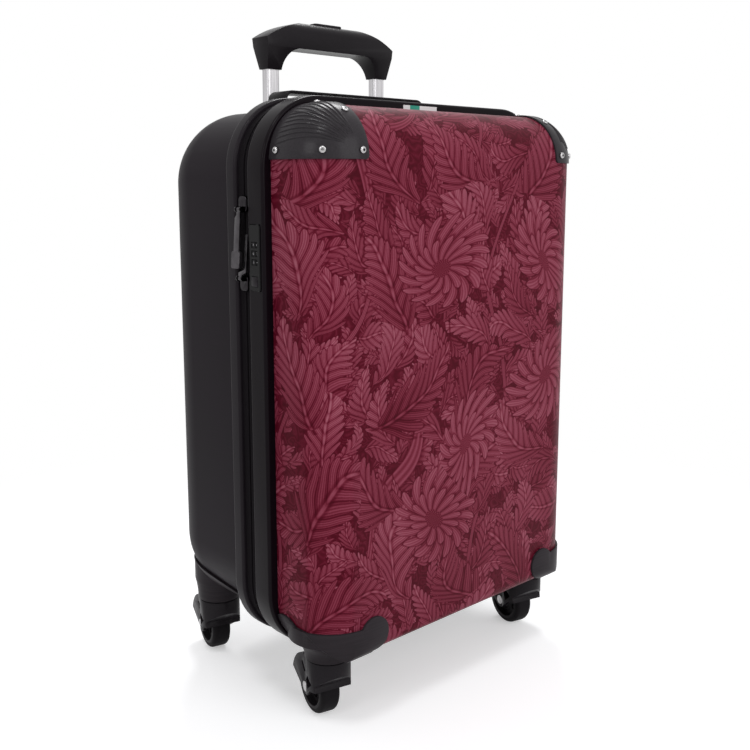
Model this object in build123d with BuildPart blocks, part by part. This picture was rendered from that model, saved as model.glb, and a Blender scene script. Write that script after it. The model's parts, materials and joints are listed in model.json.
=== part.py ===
from build123d import *
from math import atan2, degrees
import os

os.makedirs("parts", exist_ok=True)

# A hard-shell cabin trolley case with a printed front shell and a plain back shell.
# The origin is on the floor, under the middle of the case. The printed front faces -Y,
# the long side with the zip pulls and the lock faces -X, and +Z is up.

# Sizes of the two shells, in millimetres
SHELL_WIDTH = 333.0
SHELL_HEIGHT = 456.6
CASE_DEPTH = 242.0
WALL = 2.5
LID_CORNER = 44.0
LID_EDGE = 44.0
LID_FOOT_EDGE = 12.0
BASE_CORNER = 64.0
BASE_EDGE = 58.0

# The zip runs in a recess between the two rims
LID_DEPTH = 91.6
ZIP_RECESS = 16.0
LID_FRAME_DEPTH = 21.8
BASE_RIM_DEPTH = 13.5
RIM_PROUD = 8.5
RIM_CORNER = 60.0
RIM_WALL = 3.0
RIM_ROUND = 2.6
TAPE_PROUD = 4.0
TAPE_THICKNESS = 1.2
ZIP_SEAM = 1.8
COIL_WIDTH = 2.6
COIL_HEIGHT = 1.8
HINGE_LENGTH = 290.0

# Clearances, and a hair that keeps two equal rounds from meeting exactly
ROUND_EASE = 0.01
SEAT_GAP = 0.1
FREE_GAP = 0.3
PIN_GAP = 0.06

# Zip sliders and their pulls
SLIDER_WIDTH = 11.0
SLIDER_LENGTH = 13.0
SLIDER_PLATE = 2.4
UPPER_SLIDER_RISE = 42.7
LOWER_SLIDER_DROP = 21.8
SLIDER_EAR = 5.4
EAR_THICKNESS = 1.4
BAIL_WIDTH = 4.4
BAIL_PIN_RADIUS = 0.9
PULL_LENGTH = 48.0
PULL_WIDTH = 7.0
PULL_SHIFT = 1.0
PULL_END_WIDTH = 11.0
PULL_END_LENGTH = 14.0
PULL_THICKNESS = 1.8
PULL_END_THICKNESS = 3.2
PULL_TILT = 4.0
SLIM_PULL_LENGTH = 36.0
SLIM_PULL_WIDTH = 2.6
SLIM_PULL_TILT = -5.0

# Combination lock in the front frame
LOCK_RISE = 106.5
LOCK_HEIGHT = 54.0
LOCK_WIDTH = 14.0
LOCK_PROUD = 1.2
LOCK_BODY_DEPTH = 15.0
DIAL_COUNT = 3
DIGITS = 10
DIAL_RADIUS = 6.0
DIAL_THICKNESS = 4.4
DIAL_PITCH = 7.0
DIAL_PROUD = 1.0
DIAL_AXLE_RADIUS = 1.5
LOCK_BUTTON_SIZE = 8.0
LOCK_BUTTON_TRAVEL = 1.5
LOCK_BUTTON_DROP = 19.0

# Corner protectors on the printed shell
PROTECTOR_THICKNESS = 1.8
PROTECTOR_REACH = 47.6
PROTECTOR_HEIGHT = 44.0
PROTECTOR_ROUND = 3.5
RIVET_RADIUS = 2.8
RIVET_HEAD = 1.4
RIVET_DOME = 1.1
RIVET_SHANK = 1.5
RIVET_INSET = 7.0
RIVET_TOP_ANGLE = 57.0

# Casters
STEM_INSET_X = 34.7
STEM_INSET_Y = 37.6
TRAIL = 18.5
TRAIL_ANGLE = 76.0
WHEEL_RADIUS = 25.0
WHEEL_WIDTH = 18.0
TREAD_THICKNESS = 4.5
HUB_WALL = 2.6
HUB_WEB = 5.0
HUB_BOSS_RADIUS = 5.5
HUB_HOLE_COUNT = 5
HUB_HOLE_RADIUS = 3.75
HUB_HOLE_PITCH = 11.7
TREAD_ROUND = 3.8
AXLE_RADIUS = 3.0
AXLE_HEAD_RADIUS = 4.6
AXLE_HEAD = 1.2
FORK_RADIUS = 19.5
FORK_PLATE = 7.0
SKIRT_HEIGHT = 12.0
CHEEK_THICKNESS = 2.8
WHEEL_CLEARANCE = 1.2
HOOD_CLEARANCE = 2.0
HOOD_SKIN = 2.0
HOOD_END_RISE = 7.0
AXLE_BOSS = 8.0
DIAMOND_SIZE = 8.5
DIAMOND_REACH = 17.5
DIAMOND_RISE = 13.5
SLOT_LENGTH = 10.0
SLOT_WIDTH = 3.0
SLOT_REACH = 5.0
SLOT_RISE = 16.7
SLOT_SLANT = 50.0
STEM_RADIUS = 4.5
STEM_LENGTH = 13.0
STEM_BOSS_WALL = 3.0
SWIVEL_GAP = 1.5
HOUSING_DROP = 6.5
HOUSING_SKIN = 2.2
HOUSING_NECK_RADIUS = 20.5
HOUSING_FLARE = 14.0
HOUSING_FLARE_HEIGHT = 20.0
BACK_NECK_FLARE = 2.5
BACK_SADDLE_LOW = 13.0
BACK_SADDLE_HEIGHT = 36.0
HOUSING_HEIGHT = 27.0
HOUSING_REACH = 69.0
LOBE_RADIUS = 15.5
LOBE_HEIGHT = 34.5
SCREW_RADIUS = 2.0
SCREW_HEAD_RADIUS = 3.8
SCREW_HEAD = 2.0
SCREW_OFFSET = 22.0
SCREW_BITE = 5.0

# Telescopic handle
HANDLE_INSET = 49.5
TUBE_SPACING = 135.0
HANDLE_RAISED = 62.0
TUBE_WIDTH = 14.5
TUBE_DEPTH = 10.0
TUBE_WALL = 1.2
TUBE_CORNER = 2.6
TUBE_GAP = 0.35
INNER_TUBE_LENGTH = 400.0
MID_TUBE_LENGTH = 405.0
GUIDE_RISE = 17.0
FOOT_SOCKET = 12.0
FOOT_WALL = 3.0
GRIP_REST_GAP = 2.2
GRIP_LEG_HEIGHT = 20.5
GRIP_SHOULDER_HEIGHT = 28.5
GRIP_HEIGHT = 45.0
GRIP_CROTCH = 18.0
GRIP_HALF_SPAN = 79.5
GRIP_DEPTH = 24.0
GRIP_CROWN_REACH = 50.0
GRIP_CROWN_RISE = 5.0
GRIP_ROUND = 9.0
GRIP_LEG_WIDTH = 16.5
GRIP_LEG_DEPTH = 13.0
GRIP_CHANNEL = 7.0
GRIP_SOCKET = 14.0
BUTTON_LENGTH = 34.0
BUTTON_WIDTH = 11.0
BUTTON_TRAVEL = 4.0
BUTTON_PROUD = 2.0
BUTTON_ROUND = 1.2
ROD_RADIUS = 1.5
ROD_LENGTH = 150.0
BEZEL_PROUD = 1.5
BEZEL_HALF_LENGTH = 97.0
CUP_CLEARANCE = 0.7
CUP_DEPTH = 23.6
CUP_WALL = 1.8

# Carry handle on top, lining and side label
STRAP_SETBACK = 2.0
STRAP_HALF_LENGTH = 88.0
STRAP_WIDTH = 26.0
STRAP_THICKNESS = 2.6
STRAP_RISE = 19.9
STRAP_BEND = 9.0
STRAP_LIFT = 5.0
STRAP_FOOT = 9.0
STRAP_CAP_WALL = 2.0
LINING_THICKNESS = 1.0
LINING_GAP = 0.5
LABEL_LENGTH = 42.0
LABEL_WIDTH = 5.0
LABEL_THICKNESS = 0.6

# Places worked out from the sizes above
HALF_WIDTH = SHELL_WIDTH / 2
FORK_TOP = 2 * WHEEL_RADIUS + HOOD_CLEARANCE + FORK_PLATE
HOUSING_BOTTOM = FORK_TOP + SWIVEL_GAP
SHELL_BOTTOM = HOUSING_BOTTOM + HOUSING_DROP
SHELL_TOP = SHELL_BOTTOM + SHELL_HEIGHT
HOUSING_TOP = SHELL_BOTTOM + HOUSING_HEIGHT
LOBE_TOP = SHELL_BOTTOM + LOBE_HEIGHT
STEM_TOP = HOUSING_BOTTOM + STEM_LENGTH
MIDDLE_Z = (SHELL_TOP + SHELL_BOTTOM) / 2
FRONT_Y = -CASE_DEPTH / 2
BACK_Y = CASE_DEPTH / 2
SPLIT_Y = FRONT_Y + LID_DEPTH
LID_RIM_Y = SPLIT_Y - ZIP_RECESS / 2
BASE_RIM_Y = SPLIT_Y + ZIP_RECESS / 2
FRAME_FRONT_Y = LID_RIM_Y - LID_FRAME_DEPTH
RIM_BACK_Y = BASE_RIM_Y + BASE_RIM_DEPTH
RIM_X = HALF_WIDTH + RIM_PROUD
STEM_X = HALF_WIDTH - STEM_INSET_X
STEM_Y = CASE_DEPTH / 2 - STEM_INSET_Y
LOCK_Z = MIDDLE_Z + LOCK_RISE
UPPER_SLIDER_Z = LOCK_Z + UPPER_SLIDER_RISE
LOWER_SLIDER_Z = LOCK_Z - LOWER_SLIDER_DROP
HANDLE_Y = BACK_Y - HANDLE_INSET
BEZEL_HALF_WIDTH = GRIP_DEPTH / 2 + CUP_CLEARANCE + 3 * CUP_WALL + SEAT_GAP
BEZEL_FRONT = HANDLE_Y - BEZEL_HALF_WIDTH
BEZEL_BACK = HANDLE_Y + BEZEL_HALF_WIDTH
CUP_FLOOR = SHELL_TOP - CUP_DEPTH
GUIDE_BOTTOM = SHELL_BOTTOM + GUIDE_RISE
GRIP_LEG_BOTTOM = CUP_FLOOR + CUP_WALL + GRIP_REST_GAP + HANDLE_RAISED
GRIP_UNDERSIDE = GRIP_LEG_BOTTOM + GRIP_LEG_HEIGHT
GRIP_SHOULDER = GRIP_LEG_BOTTOM + GRIP_SHOULDER_HEIGHT
GRIP_CROWN = GRIP_LEG_BOTTOM + GRIP_HEIGHT
LINING_BACK = BEZEL_FRONT + 2 * CUP_WALL - LINING_GAP
STRAP_CAP_WIDTH = STRAP_WIDTH + 2 * (FREE_GAP + STRAP_CAP_WALL)
STRAP_Y = BEZEL_FRONT - STRAP_SETBACK - STRAP_CAP_WIDTH / 2
SIDES = (("left", -1), ("right", 1))
PAST = 5.0


def outline_slab(grow, corner, y_from, y_to):
    """A slab between two Y places with the case's rounded outline, grown all round."""
    with BuildPart() as slab:
        with BuildSketch(Plane.XZ.offset(-y_from)):
            with Locations((0, MIDDLE_Z)):
                RectangleRounded(SHELL_WIDTH + 2 * grow, SHELL_HEIGHT + 2 * grow, corner + grow)
        extrude(amount=y_from - y_to)
    return slab.part


def lid_form(grow, rim_y):
    """The printed shell's solid form, grown all round and cut off flat at its rim.

    Above the middle every front edge has one large round. Below it the sides keep that
    round, and the bottom edge of the front has a small one.
    """
    front_y = FRONT_Y - grow
    with BuildPart() as upper:
        with BuildSketch(Plane.XZ.offset(-rim_y)):
            with Locations((0, MIDDLE_Z)):
                RectangleRounded(SHELL_WIDTH + 2 * grow, SHELL_HEIGHT + 2 * grow, LID_CORNER + grow)
        extrude(amount=rim_y - front_y)
        fillet(upper.faces().sort_by(Axis.Y)[0].edges(), LID_EDGE + grow - ROUND_EASE)
        split(bisect_by=Plane.XY.offset(MIDDLE_Z), keep=Keep.TOP)
    with BuildPart() as plan:
        with BuildSketch(Plane.XY.offset(SHELL_BOTTOM - grow)) as footprint:
            with Locations((0, (rim_y + front_y) / 2)):
                Rectangle(SHELL_WIDTH + 2 * grow, rim_y - front_y)
            fillet(footprint.vertices().group_by(Axis.Y)[0], LID_EDGE + grow - ROUND_EASE)
        extrude(amount=MIDDLE_Z - SHELL_BOTTOM + grow)
    with BuildPart() as profile:
        with BuildSketch(Plane.YZ.offset(-HALF_WIDTH - grow)) as side_view:
            low_z = SHELL_BOTTOM - grow
            with Locations(((rim_y + front_y) / 2, (low_z + MIDDLE_Z) / 2)):
                Rectangle(rim_y - front_y, MIDDLE_Z - low_z)
            lower_corners = side_view.vertices().group_by(Axis.Y)[0]
            fillet(lower_corners.sort_by(Axis.X)[0], LID_FOOT_EDGE + grow)
        extrude(amount=SHELL_WIDTH + 2 * grow)
    lower = plan.part & profile.part & outline_slab(grow, LID_CORNER, rim_y, front_y)
    return upper.part + lower


def base_form(grow, rim_y):
    """The plain back shell's solid form, grown all round and cut off flat at its rim."""
    with BuildPart() as form:
        with BuildSketch(Plane.XZ.offset(-rim_y)):
            with Locations((0, MIDDLE_Z)):
                RectangleRounded(SHELL_WIDTH + 2 * grow, SHELL_HEIGHT + 2 * grow, BASE_CORNER + grow)
        extrude(amount=rim_y - BACK_Y - grow)
        fillet(form.faces().sort_by(Axis.Y)[-1].edges(), BASE_EDGE + grow)
    return form.part


def block(x_span, y_span, z_span):
    """A plain box between two places on each axis."""
    with BuildPart() as box:
        with Locations((sum(x_span) / 2, sum(y_span) / 2, sum(z_span) / 2)):
            Box(abs(x_span[1] - x_span[0]), abs(y_span[1] - y_span[0]), abs(z_span[1] - z_span[0]))
    return box.part


def finish(body, label):
    """Name a finished piece and write it."""
    body.label = label
    export_step(body, f"parts/{label}.step")
    return body


# Forms that several pieces are cut from
lid_outer = lid_form(0.0, LID_RIM_Y)
lid_inner = lid_form(-WALL, LID_RIM_Y + PAST)
base_outer = base_form(0.0, BASE_RIM_Y)
base_inner = base_form(-WALL, BASE_RIM_Y - PAST)
lid_seat = lid_form(SEAT_GAP, LID_RIM_Y)
base_seat = base_form(SEAT_GAP, BASE_RIM_Y)

# The lock's pocket goes through the frame, the shell and the lining
LOCK_Y = (LID_RIM_Y + FRAME_FRONT_Y) / 2
LOCK_FACE_X = -(RIM_X + LOCK_PROUD)
LOCK_BACK_X = LOCK_FACE_X + LOCK_BODY_DEPTH
lock_pocket = block(
    (-RIM_X - PAST, LOCK_BACK_X + FREE_GAP),
    (LOCK_Y - LOCK_WIDTH / 2 - SEAT_GAP, LOCK_Y + LOCK_WIDTH / 2 + SEAT_GAP),
    (LOCK_Z - LOCK_HEIGHT / 2 - SEAT_GAP, LOCK_Z + LOCK_HEIGHT / 2 + SEAT_GAP),
)


def rivet_places():
    """Five rivets on each protector, as places with the way that each one points."""
    low_z = SHELL_TOP - PROTECTOR_HEIGHT + RIVET_INSET
    inner_x = HALF_WIDTH - PROTECTOR_REACH + RIVET_INSET
    corner_x = HALF_WIDTH - LID_EDGE
    corner_y = FRONT_Y + LID_EDGE
    corner_z = SHELL_TOP - LID_EDGE
    rear_y = (corner_y + FRAME_FRONT_Y) / 2
    slant = 0.5 ** 0.5
    tipped = Vector(0, -1, 0).rotate(Axis.X, -RIVET_TOP_ANGLE)
    places = []
    for name, side in SIDES:
        places.append((Vector(side * inner_x, FRONT_Y, low_z), Vector(0, -1, 0)))
        places.append((Vector(side * HALF_WIDTH, rear_y, low_z), Vector(side, 0, 0)))
        mid = Vector(side * (corner_x + LID_EDGE * slant), corner_y - LID_EDGE * slant, low_z)
        places.append((mid, Vector(side * slant, -slant, 0)))
        top_edge = Vector(side * inner_x, corner_y, corner_z) + tipped * LID_EDGE
        places.append((top_edge, tipped))
        places.append((Vector(side * inner_x, rear_y, SHELL_TOP), Vector(0, 0, 1)))
    return places


def rivet_holes():
    """Clear holes for the rivet shanks."""
    holes = []
    for place, out in rivet_places():
        hole_plane = Plane(origin=place - out * (WALL + PAST), z_dir=out)
        with BuildPart() as hole:
            with BuildSketch(hole_plane):
                Circle(RIVET_SHANK + SEAT_GAP)
            extrude(amount=WALL + 2 * PAST)
        holes.append(hole.part)
    return holes


shank_holes = rivet_holes()


def post(centre_x, centre_y, radius, low_z, high_z):
    """An upright round bar."""
    with BuildPart() as bar:
        with BuildSketch(Plane.XY.offset(low_z)):
            with Locations((centre_x, centre_y)):
                Circle(radius)
        extrude(amount=high_z - low_z)
    return bar.part


def screw_seat(end):
    """The height where a housing screw's head sits, on the inside of a shell's bottom."""
    if end < 0:
        return SHELL_BOTTOM + WALL
    edge = BASE_EDGE - WALL
    corner = BASE_CORNER - WALL
    past_edge = STEM_Y + SCREW_HEAD_RADIUS - (BACK_Y - BASE_EDGE)
    past_corner = STEM_X - SCREW_OFFSET + SCREW_HEAD_RADIUS - (HALF_WIDTH - BASE_CORNER)
    rise = edge - (edge**2 - max(past_edge, 0) ** 2) ** 0.5
    rise += corner - (corner**2 - max(past_corner, 0) ** 2) ** 0.5
    return SHELL_BOTTOM + WALL + rise + FREE_GAP


# What the casters' stem bosses and screws take out of the shells and the lining
lid_bottom_holes = []
base_bottom_holes = []
lining_bottom_holes = []
boss_radius = STEM_RADIUS + STEM_BOSS_WALL
for name, side in SIDES:
    stem_x = side * STEM_X
    screw_x = side * (STEM_X - SCREW_OFFSET)
    lid_bottom_holes.append(post(stem_x, -STEM_Y, boss_radius + SEAT_GAP, 0, MIDDLE_Z))
    lid_bottom_holes.append(post(screw_x, -STEM_Y, SCREW_RADIUS + SEAT_GAP, 0, MIDDLE_Z))
    base_bottom_holes.append(post(stem_x, STEM_Y, boss_radius + SEAT_GAP, 0, MIDDLE_Z))
    base_bottom_holes.append(post(screw_x, STEM_Y, SCREW_RADIUS + SEAT_GAP, 0, MIDDLE_Z))
    lining_bottom_holes.append(post(stem_x, -STEM_Y, boss_radius + LINING_GAP, 0, MIDDLE_Z))
    lining_bottom_holes.append(post(screw_x, -STEM_Y, SCREW_HEAD_RADIUS + LINING_GAP, 0, MIDDLE_Z))

# Printed front shell
front_shell = lid_outer - lid_inner - lock_pocket - shank_holes - lid_bottom_holes
finish(front_shell, "front_shell")

# Plain back shell, open at the top for the handle's cup
cup_opening = block(
    (-BEZEL_HALF_LENGTH + 2 * CUP_WALL, BEZEL_HALF_LENGTH - 2 * CUP_WALL),
    (BEZEL_FRONT + 2 * CUP_WALL, BEZEL_BACK - 2 * CUP_WALL),
    (CUP_FLOOR, SHELL_TOP + PAST),
)
back_shell = base_outer - base_inner - cup_opening - base_bottom_holes
finish(back_shell, "back_shell")


def rim_channel(corner, y_from, y_to):
    """A moulded rim that wraps a shell's edge: an outer band and two webs that meet the shell."""
    outer = outline_slab(RIM_PROUD, RIM_CORNER - RIM_PROUD, y_from, y_to)
    with BuildPart() as rounded:
        add(outer)
        front_loop = rounded.faces().sort_by(Axis.Y)[0].edges()
        back_loop = rounded.faces().sort_by(Axis.Y)[-1].edges()
        fillet(front_loop + back_loop, RIM_ROUND)
    opening = outline_slab(SEAT_GAP, corner, y_from, y_to)
    pocket = outline_slab(
        RIM_PROUD - RIM_WALL, RIM_CORNER - RIM_PROUD, y_from - RIM_WALL, y_to + RIM_WALL
    )
    return rounded.part - opening - pocket


# Front frame and back rim
front_frame = rim_channel(LID_CORNER, LID_RIM_Y, FRAME_FRONT_Y) - lock_pocket
finish(front_frame, "front_frame")
back_rim = rim_channel(BASE_CORNER, RIM_BACK_Y, BASE_RIM_Y)
finish(back_rim, "back_rim")

# Zip halves: a tape with its coil along the seam, all round but for the hinge side
tape_low = TAPE_PROUD - TAPE_THICKNESS / 2
tape_high = TAPE_PROUD + TAPE_THICKNESS / 2
TAPE_CORNER = RIM_CORNER - RIM_PROUD + TAPE_PROUD
hinge_window = block(
    (HALF_WIDTH - RIM_CORNER, RIM_X + PAST),
    (LID_RIM_Y - PAST, BASE_RIM_Y + PAST),
    (MIDDLE_Z - HINGE_LENGTH / 2 - FREE_GAP, MIDDLE_Z + HINGE_LENGTH / 2 + FREE_GAP),
)


def zip_half(edge_y, seam_y, coil_y):
    """One half of the zip between a rim and the seam."""
    tape = outline_slab(tape_high, TAPE_CORNER - TAPE_PROUD, max(edge_y, seam_y), min(edge_y, seam_y))
    tape -= outline_slab(tape_low, TAPE_CORNER - TAPE_PROUD, max(edge_y, seam_y), min(edge_y, seam_y))
    coil = outline_slab(tape_low, TAPE_CORNER - TAPE_PROUD, max(coil_y, seam_y), min(coil_y, seam_y))
    coil -= outline_slab(
        tape_low - COIL_HEIGHT, TAPE_CORNER - TAPE_PROUD, max(coil_y, seam_y), min(coil_y, seam_y)
    )
    return tape + coil - hinge_window


base_seam_y = SPLIT_Y + ZIP_SEAM / 2
lid_seam_y = SPLIT_Y - ZIP_SEAM / 2
base_zip = zip_half(BASE_RIM_Y - SEAT_GAP, base_seam_y, base_seam_y + COIL_WIDTH)
finish(base_zip, "base_zip")
lid_zip = zip_half(LID_RIM_Y + SEAT_GAP, lid_seam_y, lid_seam_y - COIL_WIDTH)
finish(lid_zip, "lid_zip")

# Fabric hinge between the rims on the right side
hinge_strip = block(
    (HALF_WIDTH + tape_low, HALF_WIDTH + tape_high),
    (LID_RIM_Y + FREE_GAP, BASE_RIM_Y - SEAT_GAP),
    (MIDDLE_Z - HINGE_LENGTH / 2, MIDDLE_Z + HINGE_LENGTH / 2),
)
finish(hinge_strip, "hinge_strip")

# Zip sliders: an outer and an inner plate on a thin web, with two ears that hold the bail pin
TAPE_FACE_X = -(HALF_WIDTH + tape_high)
COIL_FACE_X = -(HALF_WIDTH + tape_low - COIL_HEIGHT)
PLATE_OUTER_X = TAPE_FACE_X - FREE_GAP - SLIDER_PLATE
PLATE_INNER_X = COIL_FACE_X + FREE_GAP + SLIDER_PLATE
BAIL_X = PLATE_OUTER_X - SLIDER_EAR + EAR_THICKNESS + BAIL_PIN_RADIUS
EAR_HALF_LENGTH = EAR_THICKNESS + BAIL_PIN_RADIUS


def slider(centre_z, toward):
    """A zip slider at a height; toward is the way its web end points along Z."""
    plate_radius = SLIDER_WIDTH / 3
    bail_z = centre_z + toward * (SLIDER_LENGTH / 2 - EAR_HALF_LENGTH)
    with BuildPart() as body:
        with BuildSketch(Plane.YZ.offset(PLATE_OUTER_X)):
            with Locations((SPLIT_Y, centre_z)):
                RectangleRounded(SLIDER_WIDTH, SLIDER_LENGTH, plate_radius)
        extrude(amount=SLIDER_PLATE)
        fillet(body.faces().sort_by(Axis.X)[0].edges(), SLIDER_PLATE / 3)
        with BuildSketch(Plane.YZ.offset(PLATE_INNER_X - SLIDER_PLATE)):
            with Locations((SPLIT_Y, centre_z)):
                RectangleRounded(SLIDER_WIDTH, SLIDER_LENGTH, plate_radius)
        extrude(amount=SLIDER_PLATE)
        web_z = centre_z + toward * (SLIDER_LENGTH / 2 - EAR_HALF_LENGTH)
        with Locations(((PLATE_OUTER_X + PLATE_INNER_X) / 2, SPLIT_Y, web_z)):
            Box(PLATE_INNER_X - PLATE_OUTER_X, ZIP_SEAM - 2 * FREE_GAP, 2 * EAR_HALF_LENGTH)
        for ear in (-1, 1):
            ear_y = SPLIT_Y + ear * (BAIL_WIDTH / 2 + FREE_GAP + EAR_THICKNESS / 2)
            with BuildSketch(Plane.XZ.offset(-ear_y - EAR_THICKNESS / 2)):
                with Locations((BAIL_X, bail_z)):
                    Circle(EAR_HALF_LENGTH)
                with Locations(((BAIL_X + PLATE_OUTER_X) / 2 + SLIDER_PLATE / 4, bail_z)):
                    Rectangle(PLATE_OUTER_X - BAIL_X + SLIDER_PLATE / 2, 2 * EAR_HALF_LENGTH)
            extrude(amount=EAR_THICKNESS)
        pin_length = BAIL_WIDTH + 2 * FREE_GAP + EAR_THICKNESS
        with BuildSketch(Plane.XZ.offset(-SPLIT_Y - pin_length / 2)):
            with Locations((BAIL_X, bail_z)):
                Circle(BAIL_PIN_RADIUS)
        extrude(amount=pin_length)
    return body.part, bail_z


def pull_tab(bail_z, way, outline, end_block, tilt):
    """A pull that turns on the bail pin and leans by its tilt; way is where it points along Z.

    The outline is the flat shank's half, and end_block is the thicker end's centre and size.
    """
    eye_radius = BAIL_PIN_RADIUS + PIN_GAP
    with BuildPart() as tab:
        with BuildSketch(Plane.XZ.offset(-SPLIT_Y - BAIL_WIDTH / 2)):
            with Locations((BAIL_X, bail_z)):
                Circle(eye_radius + EAR_THICKNESS / 2)
        extrude(amount=BAIL_WIDTH)
        with BuildSketch(Plane.YZ.offset(BAIL_X - PULL_THICKNESS / 2)):
            with BuildLine():
                Polyline([(y, bail_z + way * reach) for y, reach in outline], close=True)
            make_face()
        extrude(amount=PULL_THICKNESS)
        if end_block:
            centre_y, reach, width, length = end_block
            with BuildSketch(Plane.YZ.offset(BAIL_X - PULL_END_THICKNESS / 2)):
                with Locations((centre_y, bail_z + way * reach)):
                    RectangleRounded(width, length, PULL_THICKNESS)
            extrude(amount=PULL_END_THICKNESS)
            fillet(tab.faces().sort_by(Axis.X)[0].edges(), PULL_THICKNESS / 3)
        with BuildSketch(Plane.XZ.offset(-SPLIT_Y - BAIL_WIDTH)):
            with Locations((BAIL_X, bail_z)):
                Circle(eye_radius)
        extrude(amount=2 * BAIL_WIDTH, mode=Mode.SUBTRACT)
    bail_axis = Axis((BAIL_X, SPLIT_Y, bail_z), (0, -way, 0))
    return tab.part.rotate(bail_axis, tilt)


# The upper pull hangs outside the frame and ends in a thick block
NECK_REACH = 2 * EAR_HALF_LENGTH + SEAT_GAP
SHANK_REACH = PULL_LENGTH - PULL_END_LENGTH
pull_y = SPLIT_Y + PULL_SHIFT
wide_outline = (
    (SPLIT_Y - BAIL_WIDTH / 2, 0),
    (SPLIT_Y - BAIL_WIDTH / 2, NECK_REACH),
    (pull_y - PULL_WIDTH / 2, NECK_REACH + EAR_HALF_LENGTH),
    (pull_y - PULL_WIDTH / 2, SHANK_REACH),
    (pull_y + PULL_WIDTH / 2, SHANK_REACH),
    (pull_y + PULL_WIDTH / 2, NECK_REACH + EAR_HALF_LENGTH),
    (SPLIT_Y + BAIL_WIDTH / 2, NECK_REACH),
    (SPLIT_Y + BAIL_WIDTH / 2, 0),
)
wide_end = (pull_y, (SHANK_REACH + PULL_LENGTH) / 2, PULL_END_WIDTH, PULL_END_LENGTH)

# The lower pull is a slim tab that stands up in the recess, beside the upper one
slim_near = LID_RIM_Y + FREE_GAP
slim_far = slim_near + SLIM_PULL_WIDTH
slim_outline = (
    (SPLIT_Y - BAIL_WIDTH / 2, 0),
    (SPLIT_Y - BAIL_WIDTH / 2, EAR_HALF_LENGTH + SEAT_GAP),
    (slim_near, EAR_HALF_LENGTH + SEAT_GAP + SLIM_PULL_WIDTH),
    (slim_near, SLIM_PULL_LENGTH),
    (slim_far, SLIM_PULL_LENGTH),
    (slim_far, NECK_REACH + SLIM_PULL_WIDTH),
    (SPLIT_Y + BAIL_WIDTH / 2, NECK_REACH),
    (SPLIT_Y + BAIL_WIDTH / 2, 0),
)

upper_slider, upper_bail_z = slider(UPPER_SLIDER_Z, -1)
finish(upper_slider, "upper_slider")
finish(pull_tab(upper_bail_z, -1, wide_outline, wide_end, PULL_TILT), "upper_pull")
lower_slider, lower_bail_z = slider(LOWER_SLIDER_Z, 1)
finish(lower_slider, "lower_slider")
finish(pull_tab(lower_bail_z, 1, slim_outline, None, SLIM_PULL_TILT), "lower_pull")

# Combination lock: body, three dials on one axle, and the release button
DIAL_X = LOCK_FACE_X - DIAL_PROUD + DIAL_RADIUS
BUTTON_Z = LOCK_Z - LOCK_BUTTON_DROP
DIAL_MIDDLE_Z = LOCK_Z + DIAL_PITCH / 2
dial_heights = [DIAL_MIDDLE_Z + DIAL_PITCH * (i - (DIAL_COUNT - 1) / 2) for i in range(DIAL_COUNT)]
AXLE_LENGTH = DIAL_COUNT * DIAL_PITCH + DIAL_THICKNESS

with BuildPart() as lock_body:
    with BuildSketch(Plane.YZ.offset(LOCK_FACE_X)):
        with Locations((LOCK_Y, LOCK_Z)):
            RectangleRounded(LOCK_WIDTH, LOCK_HEIGHT, LOCK_WIDTH / 5)
    extrude(amount=LOCK_BODY_DEPTH)
    chamfer(lock_body.faces().sort_by(Axis.X)[0].edges(), LOCK_PROUD / 2)
    for dial_z in dial_heights:
        with BuildSketch(Plane.XY.offset(dial_z - DIAL_THICKNESS / 2 - FREE_GAP)):
            with Locations((DIAL_X, LOCK_Y)):
                Circle(DIAL_RADIUS + FREE_GAP)
        extrude(amount=DIAL_THICKNESS + 2 * FREE_GAP, mode=Mode.SUBTRACT)
    with BuildSketch(Plane.XY.offset(DIAL_MIDDLE_Z - AXLE_LENGTH / 2 - SEAT_GAP)):
        with Locations((DIAL_X, LOCK_Y)):
            Circle(DIAL_AXLE_RADIUS + PIN_GAP)
    extrude(amount=AXLE_LENGTH + 2 * SEAT_GAP, mode=Mode.SUBTRACT)
    with Locations((LOCK_FACE_X, LOCK_Y, BUTTON_Z)):
        Box(
            2 * (SLIDER_PLATE + LOCK_BUTTON_TRAVEL + LOCK_PROUD),
            LOCK_BUTTON_SIZE + 2 * FREE_GAP,
            LOCK_BUTTON_SIZE + 2 * FREE_GAP,
            mode=Mode.SUBTRACT,
        )
finish(lock_body.part, "lock_body")

with BuildPart() as dial_axle:
    with BuildSketch(Plane.XY.offset(DIAL_MIDDLE_Z - AXLE_LENGTH / 2)):
        with Locations((DIAL_X, LOCK_Y)):
            Circle(DIAL_AXLE_RADIUS)
    extrude(amount=AXLE_LENGTH)
finish(dial_axle.part, "lock_dial_axle")

for number, dial_z in enumerate(dial_heights):
    with BuildPart() as dial:
        with BuildSketch(Plane.XY.offset(dial_z - DIAL_THICKNESS / 2)) as face:
            with Locations((DIAL_X, LOCK_Y)):
                RegularPolygon(DIAL_RADIUS, DIGITS)
                Circle(DIAL_AXLE_RADIUS + PIN_GAP, mode=Mode.SUBTRACT)
        extrude(amount=DIAL_THICKNESS)
    finish(dial.part, f"lock_dial_{number + 1}")

with BuildPart() as lock_button:
    button_depth = SLIDER_PLATE + LOCK_PROUD
    with Locations((LOCK_FACE_X + button_depth / 2 - LOCK_PROUD / 2, LOCK_Y, BUTTON_Z)):
        Box(button_depth, LOCK_BUTTON_SIZE, LOCK_BUTTON_SIZE)
    chamfer(lock_button.faces().sort_by(Axis.X)[0].edges(), LOCK_PROUD / 3)
finish(lock_button.part, "lock_button")

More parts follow.
